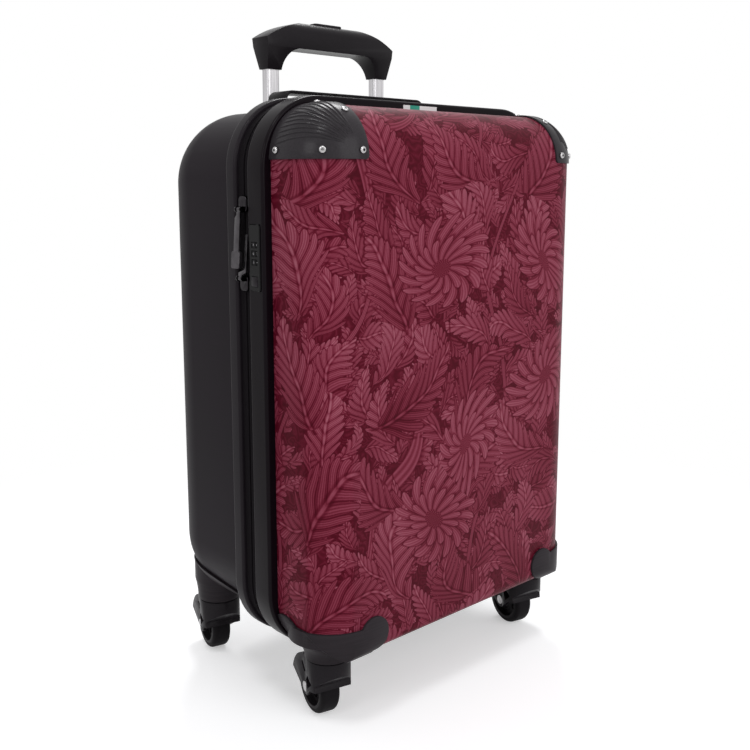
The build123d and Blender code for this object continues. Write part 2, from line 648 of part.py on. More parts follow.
# Corner protectors over the two top corners of the printed shell
protector_skin = lid_form(PROTECTOR_THICKNESS, LID_RIM_Y) - lid_seat
PROTECTOR_BACK_Y = FRAME_FRONT_Y - SEAT_GAP
for name, side in SIDES:
    with BuildPart() as patch:
        with BuildSketch(Plane.XZ.offset(-PROTECTOR_BACK_Y)) as front_view:
            inner_x = side * (HALF_WIDTH - PROTECTOR_REACH)
            outer_x = side * (HALF_WIDTH + PAST)
            low_z = SHELL_TOP - PROTECTOR_HEIGHT
            with Locations(((inner_x + outer_x) / 2, (low_z + SHELL_TOP + PAST) / 2)):
                Rectangle(abs(outer_x - inner_x), SHELL_TOP + PAST - low_z)
            lower_pair = front_view.vertices().group_by(Axis.Y)[0]
            fillet(lower_pair.sort_by(Axis.X)[0 if side > 0 else -1], PROTECTOR_ROUND)
        extrude(amount=CASE_DEPTH / 2 + PAST)
    protector = (protector_skin & patch.part) - shank_holes
    finish(protector, f"corner_protector_{name}")

rivets = []
for place, out in rivet_places():
    with BuildPart() as rivet:
        with BuildSketch(Plane(origin=place + out * (PROTECTOR_THICKNESS + SEAT_GAP), z_dir=out)):
            Circle(RIVET_RADIUS)
        extrude(amount=RIVET_HEAD)
        head_face = rivet.faces().sort_by_distance(place + out * PAST * 2)[0]
        fillet(head_face.edges(), RIVET_DOME)
        with BuildSketch(Plane(origin=place - out * WALL, z_dir=out)):
            Circle(RIVET_SHANK)
        extrude(amount=WALL + PROTECTOR_THICKNESS + SEAT_GAP)
    rivets.append(rivet.part)
finish(Compound(children=rivets), "protector_rivets")

# Casters: a housing on each bottom corner, a swivelling fork, an axle and a wheel
trail_way = Vector(1, 0, 0).rotate(Axis.Z, TRAIL_ANGLE)
axle_way = Vector(0, 1, 0).rotate(Axis.Z, TRAIL_ANGLE)
CHEEK_INNER = WHEEL_WIDTH / 2 + WHEEL_CLEARANCE
CHEEK_OUTER = CHEEK_INNER + CHEEK_THICKNESS
housing_skin_lid = lid_form(HOUSING_SKIN, LID_RIM_Y)
housing_skin_base = base_form(HOUSING_SKIN, BASE_RIM_Y)
base_screws = []
lid_screws = []


def fork_outline(plane, half_width):
    """The fork's side view, seen along the axle, as a solid of some width."""
    skirt_z = FORK_TOP - SKIRT_HEIGHT
    hood_radius = WHEEL_RADIUS + HOOD_CLEARANCE + HOOD_SKIN
    hood_end_z = WHEEL_RADIUS + HOOD_END_RISE
    hood_end = (TRAIL + (hood_radius**2 - HOOD_END_RISE**2) ** 0.5, hood_end_z)
    boss = AXLE_BOSS * 0.5**0.5
    with BuildPart() as solid:
        with BuildSketch(plane.offset(-half_width)):
            with Locations((TRAIL, WHEEL_RADIUS)):
                Circle(hood_radius)
            with Locations((TRAIL, hood_end_z - hood_radius)):
                Rectangle(2 * (hood_radius + PAST), 2 * hood_radius, mode=Mode.SUBTRACT)
            with BuildLine():
                Polyline(
                    (-FORK_RADIUS, skirt_z),
                    (TRAIL - boss, WHEEL_RADIUS - boss),
                    (TRAIL + boss, WHEEL_RADIUS - boss),
                    hood_end,
                    (TRAIL, WHEEL_RADIUS + hood_radius),
                    (FORK_RADIUS / 2, FORK_TOP),
                    (-FORK_RADIUS, FORK_TOP),
                    close=True,
                )
            make_face()
            with Locations((TRAIL, WHEEL_RADIUS)):
                Circle(AXLE_BOSS)
        extrude(amount=2 * half_width)
    return solid.part


for end_name, end in (("front", -1), ("back", 1)):
    skin_form = housing_skin_lid if end < 0 else housing_skin_base
    seat_form = lid_seat if end < 0 else base_seat
    inside_y = FRAME_FRONT_Y - SEAT_GAP if end < 0 else RIM_BACK_Y + SEAT_GAP
    outside_y = end * (CASE_DEPTH / 2 + PAST)
    face_y = end * CASE_DEPTH / 2
    for side_name, side in SIDES:
        name = f"{end_name}_{side_name}"
        stem_x = side * STEM_X
        stem_y = end * STEM_Y

        # Housing: a skin that wraps the corner, and the flared neck that carries the stem
        lobe_x = side * (HALF_WIDTH - HOUSING_REACH + LOBE_RADIUS)
        with BuildPart() as wrap:
            with BuildSketch(Plane.YZ.offset(lobe_x)):
                with BuildLine():
                    if end < 0:
                        rear_z, outer_z = HOUSING_TOP, HOUSING_TOP
                    else:
                        rear_z = SHELL_BOTTOM + BACK_SADDLE_LOW
                        outer_z = SHELL_BOTTOM + BACK_SADDLE_HEIGHT
                    Polyline(
                        (inside_y, 0),
                        (inside_y, rear_z),
                        (stem_y, outer_z),
                        (outside_y, outer_z),
                        (outside_y, 0),
                        close=True,
                    )
                make_face()
            extrude(amount=side * (RIM_X + PAST) - lobe_x)
        saddle = skin_form & wrap.part
        with BuildPart() as front_lobe:
            with BuildSketch(Plane.XZ.offset(-inside_y)):
                with Locations((lobe_x, LOBE_TOP - LOBE_RADIUS)):
                    Circle(LOBE_RADIUS)
            extrude(amount=inside_y - outside_y)
        lobes = front_lobe.part
        if end < 0:
            with BuildPart() as side_lobe:
                with BuildSketch(Plane.YZ):
                    with Locations((inside_y + end * LOBE_RADIUS / 2, LOBE_TOP - LOBE_RADIUS)):
                        Circle(LOBE_RADIUS)
                extrude(amount=side * (RIM_X + PAST))
            lobes += side_lobe.part
        lobe_room = block((0, side * (RIM_X + PAST)), (inside_y, outside_y), (0, MIDDLE_Z))
        saddle += lobes & skin_form & lobe_room
        flare = HOUSING_FLARE if end < 0 else BACK_NECK_FLARE
        flare_x = stem_x + HOUSING_NECK_RADIUS + flare
        flare_z = HOUSING_BOTTOM + HOUSING_FLARE_HEIGHT
        neck_top = SHELL_BOTTOM + (BASE_CORNER if end > 0 else HOUSING_HEIGHT)
        with BuildPart() as neck:
            with BuildSketch(Plane.XZ.offset(-stem_y)):
                with BuildLine():
                    Line((stem_x, HOUSING_BOTTOM), (stem_x + HOUSING_NECK_RADIUS, HOUSING_BOTTOM))
                    JernArc(
                        start=(stem_x + HOUSING_NECK_RADIUS, HOUSING_BOTTOM),
                        tangent=(0, 1),
                        radius=(flare**2 + HOUSING_FLARE_HEIGHT**2) / (2 * flare),
                        arc_size=-2 * degrees(atan2(flare, HOUSING_FLARE_HEIGHT)),
                    )
                    Line((flare_x, flare_z), (flare_x, neck_top))
                    Line((flare_x, neck_top), (stem_x, neck_top))
                    Line((stem_x, neck_top), (stem_x, HOUSING_BOTTOM))
                make_face()
            revolve(axis=Axis((stem_x, stem_y, 0), (0, 0, 1)))
        skin_x = side * (HALF_WIDTH + HOUSING_SKIN)
        room = block((0, skin_x), (inside_y, face_y + end * HOUSING_SKIN), (0, MIDDLE_Z))
        housing = (neck.part & room) + saddle - seat_form
        housing += post(stem_x, stem_y, boss_radius, HOUSING_BOTTOM, STEM_TOP + STEM_BOSS_WALL)
        housing -= post(stem_x, stem_y, STEM_RADIUS + PIN_GAP, 0, STEM_TOP + FREE_GAP)
        screw_x = side * (STEM_X - SCREW_OFFSET)
        seat_z = screw_seat(end)
        screw_tip = SHELL_BOTTOM - SCREW_BITE
        housing -= post(screw_x, stem_y, SCREW_RADIUS + SEAT_GAP, screw_tip - SEAT_GAP, seat_z)
        housing = housing.solids().sort_by(SortBy.VOLUME)[-1]
        finish(Part() + housing, f"caster_housing_{name}")

        # Screw from inside the shell into the housing
        screw = post(screw_x, stem_y, SCREW_RADIUS, screw_tip, seat_z)
        screw += post(screw_x, stem_y, SCREW_HEAD_RADIUS, seat_z, seat_z + SCREW_HEAD)
        (lid_screws if end < 0 else base_screws).append(screw)

        # Swivelling fork: a round skirt, two cheeks that hold the axle, and a hood over the wheel
        axle_place = Vector(stem_x, stem_y, WHEEL_RADIUS) + trail_way * TRAIL
        side_plane = Plane(origin=(stem_x, stem_y, 0), x_dir=trail_way, z_dir=-axle_way)
        hood_reach = TRAIL + WHEEL_RADIUS + HOOD_CLEARANCE + HOOD_SKIN
        with BuildPart() as fork_plan:
            with BuildSketch(Plane(origin=(stem_x, stem_y, 0), x_dir=trail_way, z_dir=(0, 0, 1))):
                Circle(FORK_RADIUS)
                with Locations((hood_reach / 2, 0)):
                    Rectangle(hood_reach, 2 * CHEEK_OUTER)
            extrude(amount=FORK_TOP)
        fork = fork_plan.part & fork_outline(side_plane, FORK_RADIUS + PAST)
        with BuildPart() as wheel_room:
            with BuildSketch(side_plane.offset(-CHEEK_INNER)):
                with Locations((TRAIL, WHEEL_RADIUS)):
                    Circle(WHEEL_RADIUS + HOOD_CLEARANCE)
            extrude(amount=2 * CHEEK_INNER)
            with BuildSketch(side_plane.offset(-FORK_RADIUS - PAST)):
                with Locations((TRAIL, WHEEL_RADIUS)):
                    Circle(AXLE_RADIUS + PIN_GAP)
                with Locations((TRAIL - DIAMOND_REACH, WHEEL_RADIUS + DIAMOND_RISE)):
                    Rectangle(DIAMOND_SIZE, DIAMOND_SIZE, rotation=45)
                with Locations((TRAIL + SLOT_REACH, WHEEL_RADIUS + SLOT_RISE)):
                    SlotOverall(SLOT_LENGTH, SLOT_WIDTH, rotation=SLOT_SLANT)
            extrude(amount=2 * (FORK_RADIUS + PAST))
            for cheek in (-1, 1):
                with BuildSketch(side_plane.offset(cheek * CHEEK_OUTER)):
                    with Locations((TRAIL, WHEEL_RADIUS)):
                        Circle(AXLE_HEAD_RADIUS + FREE_GAP)
                extrude(amount=cheek * FORK_RADIUS)
        fork -= wheel_room.part
        fork += post(stem_x, stem_y, STEM_RADIUS, FORK_TOP, STEM_TOP)
        finish(fork, f"caster_fork_{name}")

        # Axle with a head on each cheek
        axle_plane = Plane(origin=axle_place - axle_way * CHEEK_OUTER, x_dir=trail_way, z_dir=axle_way)
        with BuildPart() as axle:
            with BuildSketch(axle_plane):
                Circle(AXLE_RADIUS)
            extrude(amount=2 * CHEEK_OUTER)
            with BuildSketch(axle_plane):
                Circle(AXLE_HEAD_RADIUS)
            extrude(amount=-AXLE_HEAD)
            with BuildSketch(axle_plane.offset(2 * CHEEK_OUTER)):
                Circle(AXLE_HEAD_RADIUS)
            extrude(amount=AXLE_HEAD)
        finish(axle.part, f"caster_axle_{name}")

        # Wheel: a spoked hub and a soft tread moulded round it
        hub_radius = WHEEL_RADIUS - TREAD_THICKNESS
        wheel_plane = Plane(origin=axle_place - axle_way * WHEEL_WIDTH / 2, x_dir=trail_way, z_dir=axle_way)
        with BuildPart() as hub:
            with BuildSketch(wheel_plane):
                Circle(hub_radius)
                Circle(hub_radius - HUB_WALL, mode=Mode.SUBTRACT)
            extrude(amount=WHEEL_WIDTH)
            with BuildSketch(wheel_plane):
                Circle(HUB_BOSS_RADIUS)
            extrude(amount=WHEEL_WIDTH)
            with BuildSketch(wheel_plane.offset((WHEEL_WIDTH - HUB_WEB) / 2)):
                Circle(hub_radius - HUB_WALL / 2)
                with PolarLocations(HUB_HOLE_PITCH, HUB_HOLE_COUNT):
                    Circle(HUB_HOLE_RADIUS, mode=Mode.SUBTRACT)
            extrude(amount=HUB_WEB)
            with BuildSketch(wheel_plane):
                Circle(AXLE_RADIUS + PIN_GAP)
            extrude(amount=WHEEL_WIDTH, mode=Mode.SUBTRACT)
        finish(hub.part, f"wheel_hub_{name}")
        with BuildPart() as tread:
            with BuildSketch(wheel_plane):
                Circle(WHEEL_RADIUS)
                Circle(hub_radius, mode=Mode.SUBTRACT)
            extrude(amount=WHEEL_WIDTH)
            outer_edges = tread.edges().filter_by(GeomType.CIRCLE).sort_by(SortBy.RADIUS)[-2:]
            fillet(outer_edges, TREAD_ROUND)
        finish(tread.part, f"wheel_tread_{name}")

finish(Compound(children=lid_screws), "lid_housing_screws")
finish(Compound(children=base_screws), "base_housing_screws")

# Telescopic handle: guide tubes in the case, mid tubes, inner tubes and the grip
tube_sizes = {}
width, depth = TUBE_WIDTH, TUBE_DEPTH
for stage in ("inner", "mid", "guide"):
    tube_sizes[stage] = (width, depth)
    width += 2 * (TUBE_GAP + TUBE_WALL)
    depth += 2 * (TUBE_GAP + TUBE_WALL)


def tube(stage, centre_x, low_z, high_z):
    """A rounded rectangular tube of one stage."""
    width, depth = tube_sizes[stage]
    with BuildPart() as body:
        with BuildSketch(Plane.XY.offset(low_z)):
            with Locations((centre_x, HANDLE_Y)):
                RectangleRounded(width, depth, TUBE_CORNER)
                RectangleRounded(
                    width - 2 * TUBE_WALL, depth - 2 * TUBE_WALL, TUBE_CORNER - TUBE_WALL, mode=Mode.SUBTRACT
                )
        extrude(amount=high_z - low_z)
    return body.part


INNER_TOP = GRIP_LEG_BOTTOM + GRIP_SOCKET
INNER_BOTTOM = INNER_TOP - INNER_TUBE_LENGTH
GUIDE_TOP = CUP_FLOOR - SEAT_GAP
MID_TOP = CUP_FLOOR + CUP_WALL
MID_BOTTOM = MID_TOP - MID_TUBE_LENGTH
for name, side in SIDES:
    tube_x = side * TUBE_SPACING / 2
    finish(tube("inner", tube_x, INNER_BOTTOM, INNER_TOP), f"inner_tube_{name}")
    finish(tube("mid", tube_x, MID_BOTTOM, MID_TOP), f"mid_tube_{name}")
    finish(tube("guide", tube_x, GUIDE_BOTTOM, GUIDE_TOP), f"guide_tube_{name}")

# Grip: a crossbar on two tapered legs, with a channel for the release yoke
with BuildPart() as grip:
    with BuildSketch(Plane.XZ.offset(-HANDLE_Y - GRIP_DEPTH / 2)) as grip_view:
        leg_x = TUBE_SPACING / 2
        half_leg = GRIP_LEG_WIDTH / 2
        inner_x = leg_x - half_leg
        with BuildLine():
            Line((-leg_x - half_leg, GRIP_LEG_BOTTOM), (-GRIP_HALF_SPAN, GRIP_SHOULDER))
            crown_z = (GRIP_SHOULDER + GRIP_CROWN) / 2 + GRIP_CROWN_RISE
            ThreePointArc((-GRIP_HALF_SPAN, GRIP_SHOULDER), (-GRIP_CROWN_REACH, crown_z), (0, GRIP_CROWN))
            ThreePointArc((0, GRIP_CROWN), (GRIP_CROWN_REACH, crown_z), (GRIP_HALF_SPAN, GRIP_SHOULDER))
            Line((GRIP_HALF_SPAN, GRIP_SHOULDER), (leg_x + half_leg, GRIP_LEG_BOTTOM))
            Line((leg_x + half_leg, GRIP_LEG_BOTTOM), (inner_x, GRIP_LEG_BOTTOM))
            TangentArc((inner_x, GRIP_LEG_BOTTOM), (inner_x - GRIP_CROTCH, GRIP_UNDERSIDE), tangent=(0, 1))
            Line((inner_x - GRIP_CROTCH, GRIP_UNDERSIDE), (GRIP_CROTCH - inner_x, GRIP_UNDERSIDE))
            TangentArc(
                (-inner_x, GRIP_LEG_BOTTOM), (GRIP_CROTCH - inner_x, GRIP_UNDERSIDE), tangent=(0, 1)
            )
            Line((-inner_x, GRIP_LEG_BOTTOM), (-leg_x - half_leg, GRIP_LEG_BOTTOM))
        make_face()
    extrude(amount=GRIP_DEPTH)
with BuildPart() as grip_side:
    with BuildSketch(Plane.YZ.offset(-GRIP_HALF_SPAN - PAST)) as end_view:
        with BuildLine():
            half_top = GRIP_DEPTH / 2
            half_low = GRIP_LEG_DEPTH / 2
            Polyline(
                (HANDLE_Y - half_low, GRIP_LEG_BOTTOM),
                (HANDLE_Y - half_top, GRIP_UNDERSIDE),
                (HANDLE_Y - half_top, GRIP_CROWN),
                (HANDLE_Y + half_top, GRIP_CROWN),
                (HANDLE_Y + half_top, GRIP_UNDERSIDE),
                (HANDLE_Y + half_low, GRIP_LEG_BOTTOM),
                close=True,
            )
        make_face()
        fillet(end_view.vertices().group_by(Axis.Y)[-1], GRIP_ROUND)
    extrude(amount=2 * (GRIP_HALF_SPAN + PAST))
grip_body = grip.part & grip_side.part
YOKE_Z = GRIP_UNDERSIDE + GRIP_CHANNEL + BUTTON_TRAVEL / 2
channel_half = TUBE_SPACING / 2 + 2 * ROD_RADIUS + FREE_GAP
grip_body -= block(
    (-channel_half, channel_half),
    (HANDLE_Y - 2 * ROD_RADIUS - FREE_GAP, HANDLE_Y + 2 * ROD_RADIUS + FREE_GAP),
    (YOKE_Z - 2 * ROD_RADIUS - BUTTON_TRAVEL - FREE_GAP, YOKE_Z + 2 * ROD_RADIUS + FREE_GAP),
)
for name, side in SIDES:
    tube_x = side * TUBE_SPACING / 2
    grip_body -= block(
        (tube_x - TUBE_WIDTH / 2, tube_x + TUBE_WIDTH / 2),
        (HANDLE_Y - TUBE_DEPTH / 2, HANDLE_Y + TUBE_DEPTH / 2),
        (GRIP_LEG_BOTTOM - PAST, INNER_TOP + SEAT_GAP),
    )
    grip_body -= block(
        (tube_x - 2 * ROD_RADIUS, tube_x + 2 * ROD_RADIUS),
        (HANDLE_Y - 2 * ROD_RADIUS, HANDLE_Y + 2 * ROD_RADIUS),
        (INNER_TOP, YOKE_Z),
    )
grip_body -= block(
    (-BUTTON_LENGTH / 2 - FREE_GAP, BUTTON_LENGTH / 2 + FREE_GAP),
    (HANDLE_Y - BUTTON_WIDTH / 2 - FREE_GAP, HANDLE_Y + BUTTON_WIDTH / 2 + FREE_GAP),
    (YOKE_Z + 2 * ROD_RADIUS - BUTTON_TRAVEL - FREE_GAP, GRIP_CROWN + PAST),
)
finish(grip_body, "handle_grip")

with BuildPart() as grip_button:
    with BuildSketch(Plane.XY.offset(YOKE_Z + 2 * ROD_RADIUS)):
        with Locations((0, HANDLE_Y)):
            RectangleRounded(BUTTON_LENGTH, BUTTON_WIDTH, BUTTON_WIDTH / 4)
    extrude(amount=GRIP_CROWN + BUTTON_PROUD - YOKE_Z - 2 * ROD_RADIUS)
    fillet(grip_button.faces().sort_by(Axis.Z)[-1].edges(), BUTTON_ROUND)
finish(grip_button.part, "grip_button")

with BuildPart() as release_yoke:
    with Locations((0, HANDLE_Y, YOKE_Z)):
        Box(TUBE_SPACING + 4 * ROD_RADIUS, 4 * ROD_RADIUS, 4 * ROD_RADIUS)
    for name, side in SIDES:
        with BuildSketch(Plane.XY.offset(YOKE_Z)):
            with Locations((side * TUBE_SPACING / 2, HANDLE_Y)):
                Circle(ROD_RADIUS)
        extrude(amount=-ROD_LENGTH)
finish(release_yoke.part, "release_yoke")

# Cup and bezel round the handle, sunk in the back shell's top
bezel_prism = block(
    (-BEZEL_HALF_LENGTH, BEZEL_HALF_LENGTH),
    (BEZEL_FRONT, BEZEL_BACK),
    (CUP_FLOOR - CUP_WALL, SHELL_TOP + PAST),
)
bezel_flange = (base_form(BEZEL_PROUD, BASE_RIM_Y) - base_seat) & bezel_prism
cup_outer = block(
    (-BEZEL_HALF_LENGTH + 2 * CUP_WALL + SEAT_GAP, BEZEL_HALF_LENGTH - 2 * CUP_WALL - SEAT_GAP),
    (BEZEL_FRONT + 2 * CUP_WALL + SEAT_GAP, BEZEL_BACK - 2 * CUP_WALL - SEAT_GAP),
    (CUP_FLOOR, SHELL_TOP + PAST),
) & base_form(BEZEL_PROUD, BASE_RIM_Y)
cup_inner = block(
    (-BEZEL_HALF_LENGTH + 3 * CUP_WALL + SEAT_GAP, BEZEL_HALF_LENGTH - 3 * CUP_WALL - SEAT_GAP),
    (BEZEL_FRONT + 3 * CUP_WALL + SEAT_GAP, BEZEL_BACK - 3 * CUP_WALL - SEAT_GAP),
    (CUP_FLOOR + CUP_WALL, SHELL_TOP + 2 * PAST),
)
bezel = bezel_flange + cup_outer - cup_inner
for name, side in SIDES:
    mid_width, mid_depth = tube_sizes["mid"]
    with BuildPart() as tube_hole:
        with BuildSketch(Plane.XY.offset(CUP_FLOOR - PAST)):
            with Locations((side * TUBE_SPACING / 2, HANDLE_Y)):
                RectangleRounded(mid_width + 2 * TUBE_GAP, mid_depth + 2 * TUBE_GAP, TUBE_CORNER + TUBE_GAP)
        extrude(amount=2 * PAST)
    bezel -= tube_hole.part
finish(bezel, "handle_bezel")

# Foot bracket that holds the lower ends of the guide tubes
guide_width, guide_depth = tube_sizes["guide"]
foot_half = TUBE_SPACING / 2 + guide_width / 2 + FOOT_WALL
with BuildPart() as handle_foot:
    add(block(
        (-foot_half, foot_half),
        (HANDLE_Y - guide_depth / 2 - FOOT_WALL, HANDLE_Y + guide_depth / 2 + FOOT_WALL),
        (SHELL_BOTTOM, GUIDE_BOTTOM + FOOT_SOCKET),
    ))
    for name, side in SIDES:
        with Locations((side * TUBE_SPACING / 2, HANDLE_Y, GUIDE_BOTTOM + FOOT_SOCKET / 2)):
            Box(guide_width + 2 * SEAT_GAP, guide_depth + 2 * SEAT_GAP, FOOT_SOCKET, mode=Mode.SUBTRACT)
finish(handle_foot.part & base_form(-WALL - SEAT_GAP, BASE_RIM_Y), "handle_foot")

# Lining trays in both shells
lining_outer = base_form(-WALL - LINING_GAP, BASE_RIM_Y)
lining_inner = base_form(-WALL - LINING_GAP - LINING_THICKNESS, BASE_RIM_Y - PAST)
tray_room = block((-HALF_WIDTH, HALF_WIDTH), (BASE_RIM_Y, LINING_BACK), (0, SHELL_TOP))
tray_hollow = block(
    (-HALF_WIDTH, HALF_WIDTH), (BASE_RIM_Y - PAST, LINING_BACK - LINING_THICKNESS), (0, SHELL_TOP)
)
base_lining = (lining_outer & tray_room) - (lining_inner & tray_hollow)
finish(base_lining, "base_lining")
lid_lining = lid_form(-WALL - LINING_GAP, LID_RIM_Y)
lid_lining -= lid_form(-WALL - LINING_GAP - LINING_THICKNESS, LID_RIM_Y + PAST)
lock_relief = block(
    (-HALF_WIDTH, LOCK_BACK_X + 2 * FREE_GAP),
    (LOCK_Y - LOCK_WIDTH, LOCK_Y + LOCK_WIDTH + PAST),
    (LOCK_Z - LOCK_HEIGHT / 2 - PAST, LOCK_Z + LOCK_HEIGHT / 2 + PAST),
)
lid_lining = lid_lining - lock_relief - lining_bottom_holes
finish(lid_lining, "lid_lining")

# Carry handle on the top of the back shell: a flat strap whose bent ends slide up in two caps
STRAP_TOP = SHELL_TOP + STRAP_RISE
STRAP_FOOT_Z = SHELL_TOP + SEAT_GAP + FREE_GAP
with BuildPart() as carry_strap:
    with BuildSketch(Plane.XZ.offset(-STRAP_Y - STRAP_WIDTH / 2)):
        with Locations((0, STRAP_TOP - STRAP_RISE)):
            RectangleRounded(2 * STRAP_HALF_LENGTH, 2 * STRAP_RISE, STRAP_BEND)
            RectangleRounded(
                2 * (STRAP_HALF_LENGTH - STRAP_THICKNESS),
                2 * (STRAP_RISE - STRAP_THICKNESS),
                STRAP_BEND - STRAP_THICKNESS,
                mode=Mode.SUBTRACT,
            )
        with Locations((0, STRAP_FOOT_Z - STRAP_RISE)):
            Rectangle(2 * STRAP_HALF_LENGTH + PAST, 2 * STRAP_RISE, mode=Mode.SUBTRACT)
        for name, side in SIDES:
            foot_x = side * (STRAP_HALF_LENGTH - STRAP_THICKNESS / 2)
            with Locations((foot_x, STRAP_FOOT_Z + STRAP_THICKNESS / 2)):
                Rectangle(STRAP_FOOT, STRAP_THICKNESS)
    extrude(amount=STRAP_WIDTH)
finish(carry_strap.part, "carry_strap")

caps = []
CHAMBER_TOP = STRAP_FOOT_Z + STRAP_THICKNESS + STRAP_LIFT + FREE_GAP
for name, side in SIDES:
    leg_x = side * (STRAP_HALF_LENGTH - STRAP_THICKNESS / 2)
    chamber_length = STRAP_FOOT + 2 * FREE_GAP
    chamber_width = STRAP_WIDTH + 2 * FREE_GAP
    with BuildPart() as cap:
        with BuildSketch(Plane.XY.offset(SHELL_TOP + SEAT_GAP)):
            with Locations((leg_x, STRAP_Y)):
                RectangleRounded(
                    chamber_length + 2 * STRAP_CAP_WALL, chamber_width + 2 * STRAP_CAP_WALL, STRAP_CAP_WALL
                )
        extrude(amount=CHAMBER_TOP + STRAP_CAP_WALL - SHELL_TOP - SEAT_GAP)
        fillet(cap.faces().sort_by(Axis.Z)[-1].edges(), STRAP_CAP_WALL / 2)
        with BuildSketch(Plane.XY.offset(SHELL_TOP)):
            with Locations((leg_x, STRAP_Y)):
                Rectangle(chamber_length, chamber_width)
        extrude(amount=CHAMBER_TOP - SHELL_TOP, mode=Mode.SUBTRACT)
        with BuildSketch(Plane.XY.offset(SHELL_TOP)):
            with Locations((leg_x, STRAP_Y)):
                Rectangle(STRAP_THICKNESS + 2 * FREE_GAP, chamber_width)
        extrude(amount=STRAP_RISE, mode=Mode.SUBTRACT)
    caps.append(cap.part)
finish(Compound(children=caps), "strap_caps")

# Small plain label on the frame's forward face, at the top
label_z = SHELL_TOP + (RIM_PROUD - RIM_ROUND) / 2
top_label = block(
    (-LABEL_LENGTH / 2, LABEL_LENGTH / 2),
    (FRAME_FRONT_Y - SEAT_GAP - LABEL_THICKNESS, FRAME_FRONT_Y - SEAT_GAP),
    (label_z - LABEL_WIDTH / 2, label_z + LABEL_WIDTH / 2),
)
finish(top_label, "top_label")
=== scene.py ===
import json
import math

import bpy
from mathutils import Matrix, Vector


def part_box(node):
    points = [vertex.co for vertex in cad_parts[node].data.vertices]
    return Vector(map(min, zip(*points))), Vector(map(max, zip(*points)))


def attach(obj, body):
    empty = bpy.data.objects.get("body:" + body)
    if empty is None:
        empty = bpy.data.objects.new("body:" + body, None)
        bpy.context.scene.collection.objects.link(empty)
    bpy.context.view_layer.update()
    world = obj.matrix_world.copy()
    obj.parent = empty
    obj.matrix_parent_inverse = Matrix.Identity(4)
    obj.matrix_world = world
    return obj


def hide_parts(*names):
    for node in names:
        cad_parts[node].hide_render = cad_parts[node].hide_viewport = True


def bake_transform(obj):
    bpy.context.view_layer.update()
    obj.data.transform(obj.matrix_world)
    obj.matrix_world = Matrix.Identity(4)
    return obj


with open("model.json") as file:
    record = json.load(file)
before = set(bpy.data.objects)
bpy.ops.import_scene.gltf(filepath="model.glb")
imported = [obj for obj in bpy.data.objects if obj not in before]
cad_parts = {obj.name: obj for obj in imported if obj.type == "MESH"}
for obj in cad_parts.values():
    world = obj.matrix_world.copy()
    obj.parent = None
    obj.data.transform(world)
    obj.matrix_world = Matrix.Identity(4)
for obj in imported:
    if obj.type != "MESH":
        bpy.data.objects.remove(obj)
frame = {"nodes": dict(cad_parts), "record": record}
nodes = frame["nodes"]
body_of = {node: body for body, names in frame["record"]["behaviour"]["bodies"].items() for node in names}
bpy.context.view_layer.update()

# Printed front shell: one thermoformed sheet with a film print over its face and rounds, and
# plain black inside. The print is a dense tone-on-tone design of leaves, stems and flower
# heads, drawn on the sheet unrolled flat, so it runs round the edges unbroken.
HALF_WIDTH = 0.1665
SHELL_BOTTOM = 0.067
SHELL_TOP = 0.5236
SHELL_MIDDLE = (SHELL_TOP + SHELL_BOTTOM) / 2
HALF_HEIGHT = (SHELL_TOP - SHELL_BOTTOM) / 2
FRONT_Y = -0.121
EDGE_ROUND = 0.044
FOOT_ROUND = 0.012
ROUND_RUN = EDGE_ROUND * math.pi / 2
JOIN_DISTANCE = 0.000002
FLAT_ANGLE = 0.2
BEVEL_ANGLE = 40
NO_DISTANCE = 0.00001
OUTER_SHARE = 0.1
SHELL_BLACK = (26, 21, 26)
SHELL_GRAIN = 1400.0
SHELL_GRAIN_DEPTH = 0.00006
LEAF_HALF_LENGTH = 0.56
LEAF_SLANT = -1.25
LEAF_CURL = 2.4
LEAF_ARCH = 0.08
LEAF_TAPER = -0.55
LEAF_NECK = 0.38
LEAF_WARP = 0.5
LOBE_ROUNDNESS = 0.55
TIP_ROUNDNESS = 0.75
VEINS_PER_LOBE = 9.0
LEAF_TONE = 0.4
LEAF_TONE_SPREAD = 0.26
VEIN_LIGHT = 0.15
LOBE_LIGHT = 0.45
MIDRIB_LIGHT = 0.22
MIDRIB_SHADE = -0.2
TIP_LIGHT = 0.3
FLOWER_SQUASH = (1.0, 1.45, 1.0)
FLOWER_SWIRL = 1.6
FLOWER_WARP = 0.45
FLOWER_CHANCE = 0.5
PETAL_ROUNDNESS = 0.8
PETAL_LIGHT = 0.55
PETAL_EDGE_LIGHT = 0.4
PETAL_STREAKS = 0.13
PETAL_SHADE = -0.5
HEART_EDGE = (0.075, 0.085)
HEART_RINGS = 230.0
HEART_SPOKES = 22.0
STEM_DRIFT = 0.24
STEM_LEAN = -0.3
STEM_SPACING = 0.12
STEM_LINES = 330.0
GROUND_SCALE = 85.0
GROUND_LOOPS = 40.0
SHADE_ROUND_LAYERS = -0.55
# Each ring of petals: how many, where they start, how far they reach, their streaks and light.
PETAL_RINGS = (
    (9.0, 0.25, 0.17, 90.0, 0.5),
    (7.0, 0.15, 0.1, 70.0, 0.56),
)
# Each layer of leaves: how many to a metre, seed, spread and lean of angles, width, lobes.
LEAVES_UNDER_STEMS = (
    (36.0, 3.1, 4.5, -1.0, 0.26, 15.0),
    (31.0, 11.7, 3.5, -2.1, 0.24, 17.0),
    (22.0, 23.9, 2.8, -1.0, 0.25, 19.0),
)
LEAVES_OVER_STEMS = (
    (17.0, 31.2, 2.4, -2.2, 0.25, 21.0),
    (11.5, 41.3, 2.2, -1.4, 0.27, 24.0),
)
WINE_INKS = (
    (0.0, (66, 5, 20)),
    (0.25, (83, 13, 31)),
    (0.5, (108, 35, 52)),
    (0.75, (130, 58, 75)),
    (1.0, (148, 83, 97)),
)


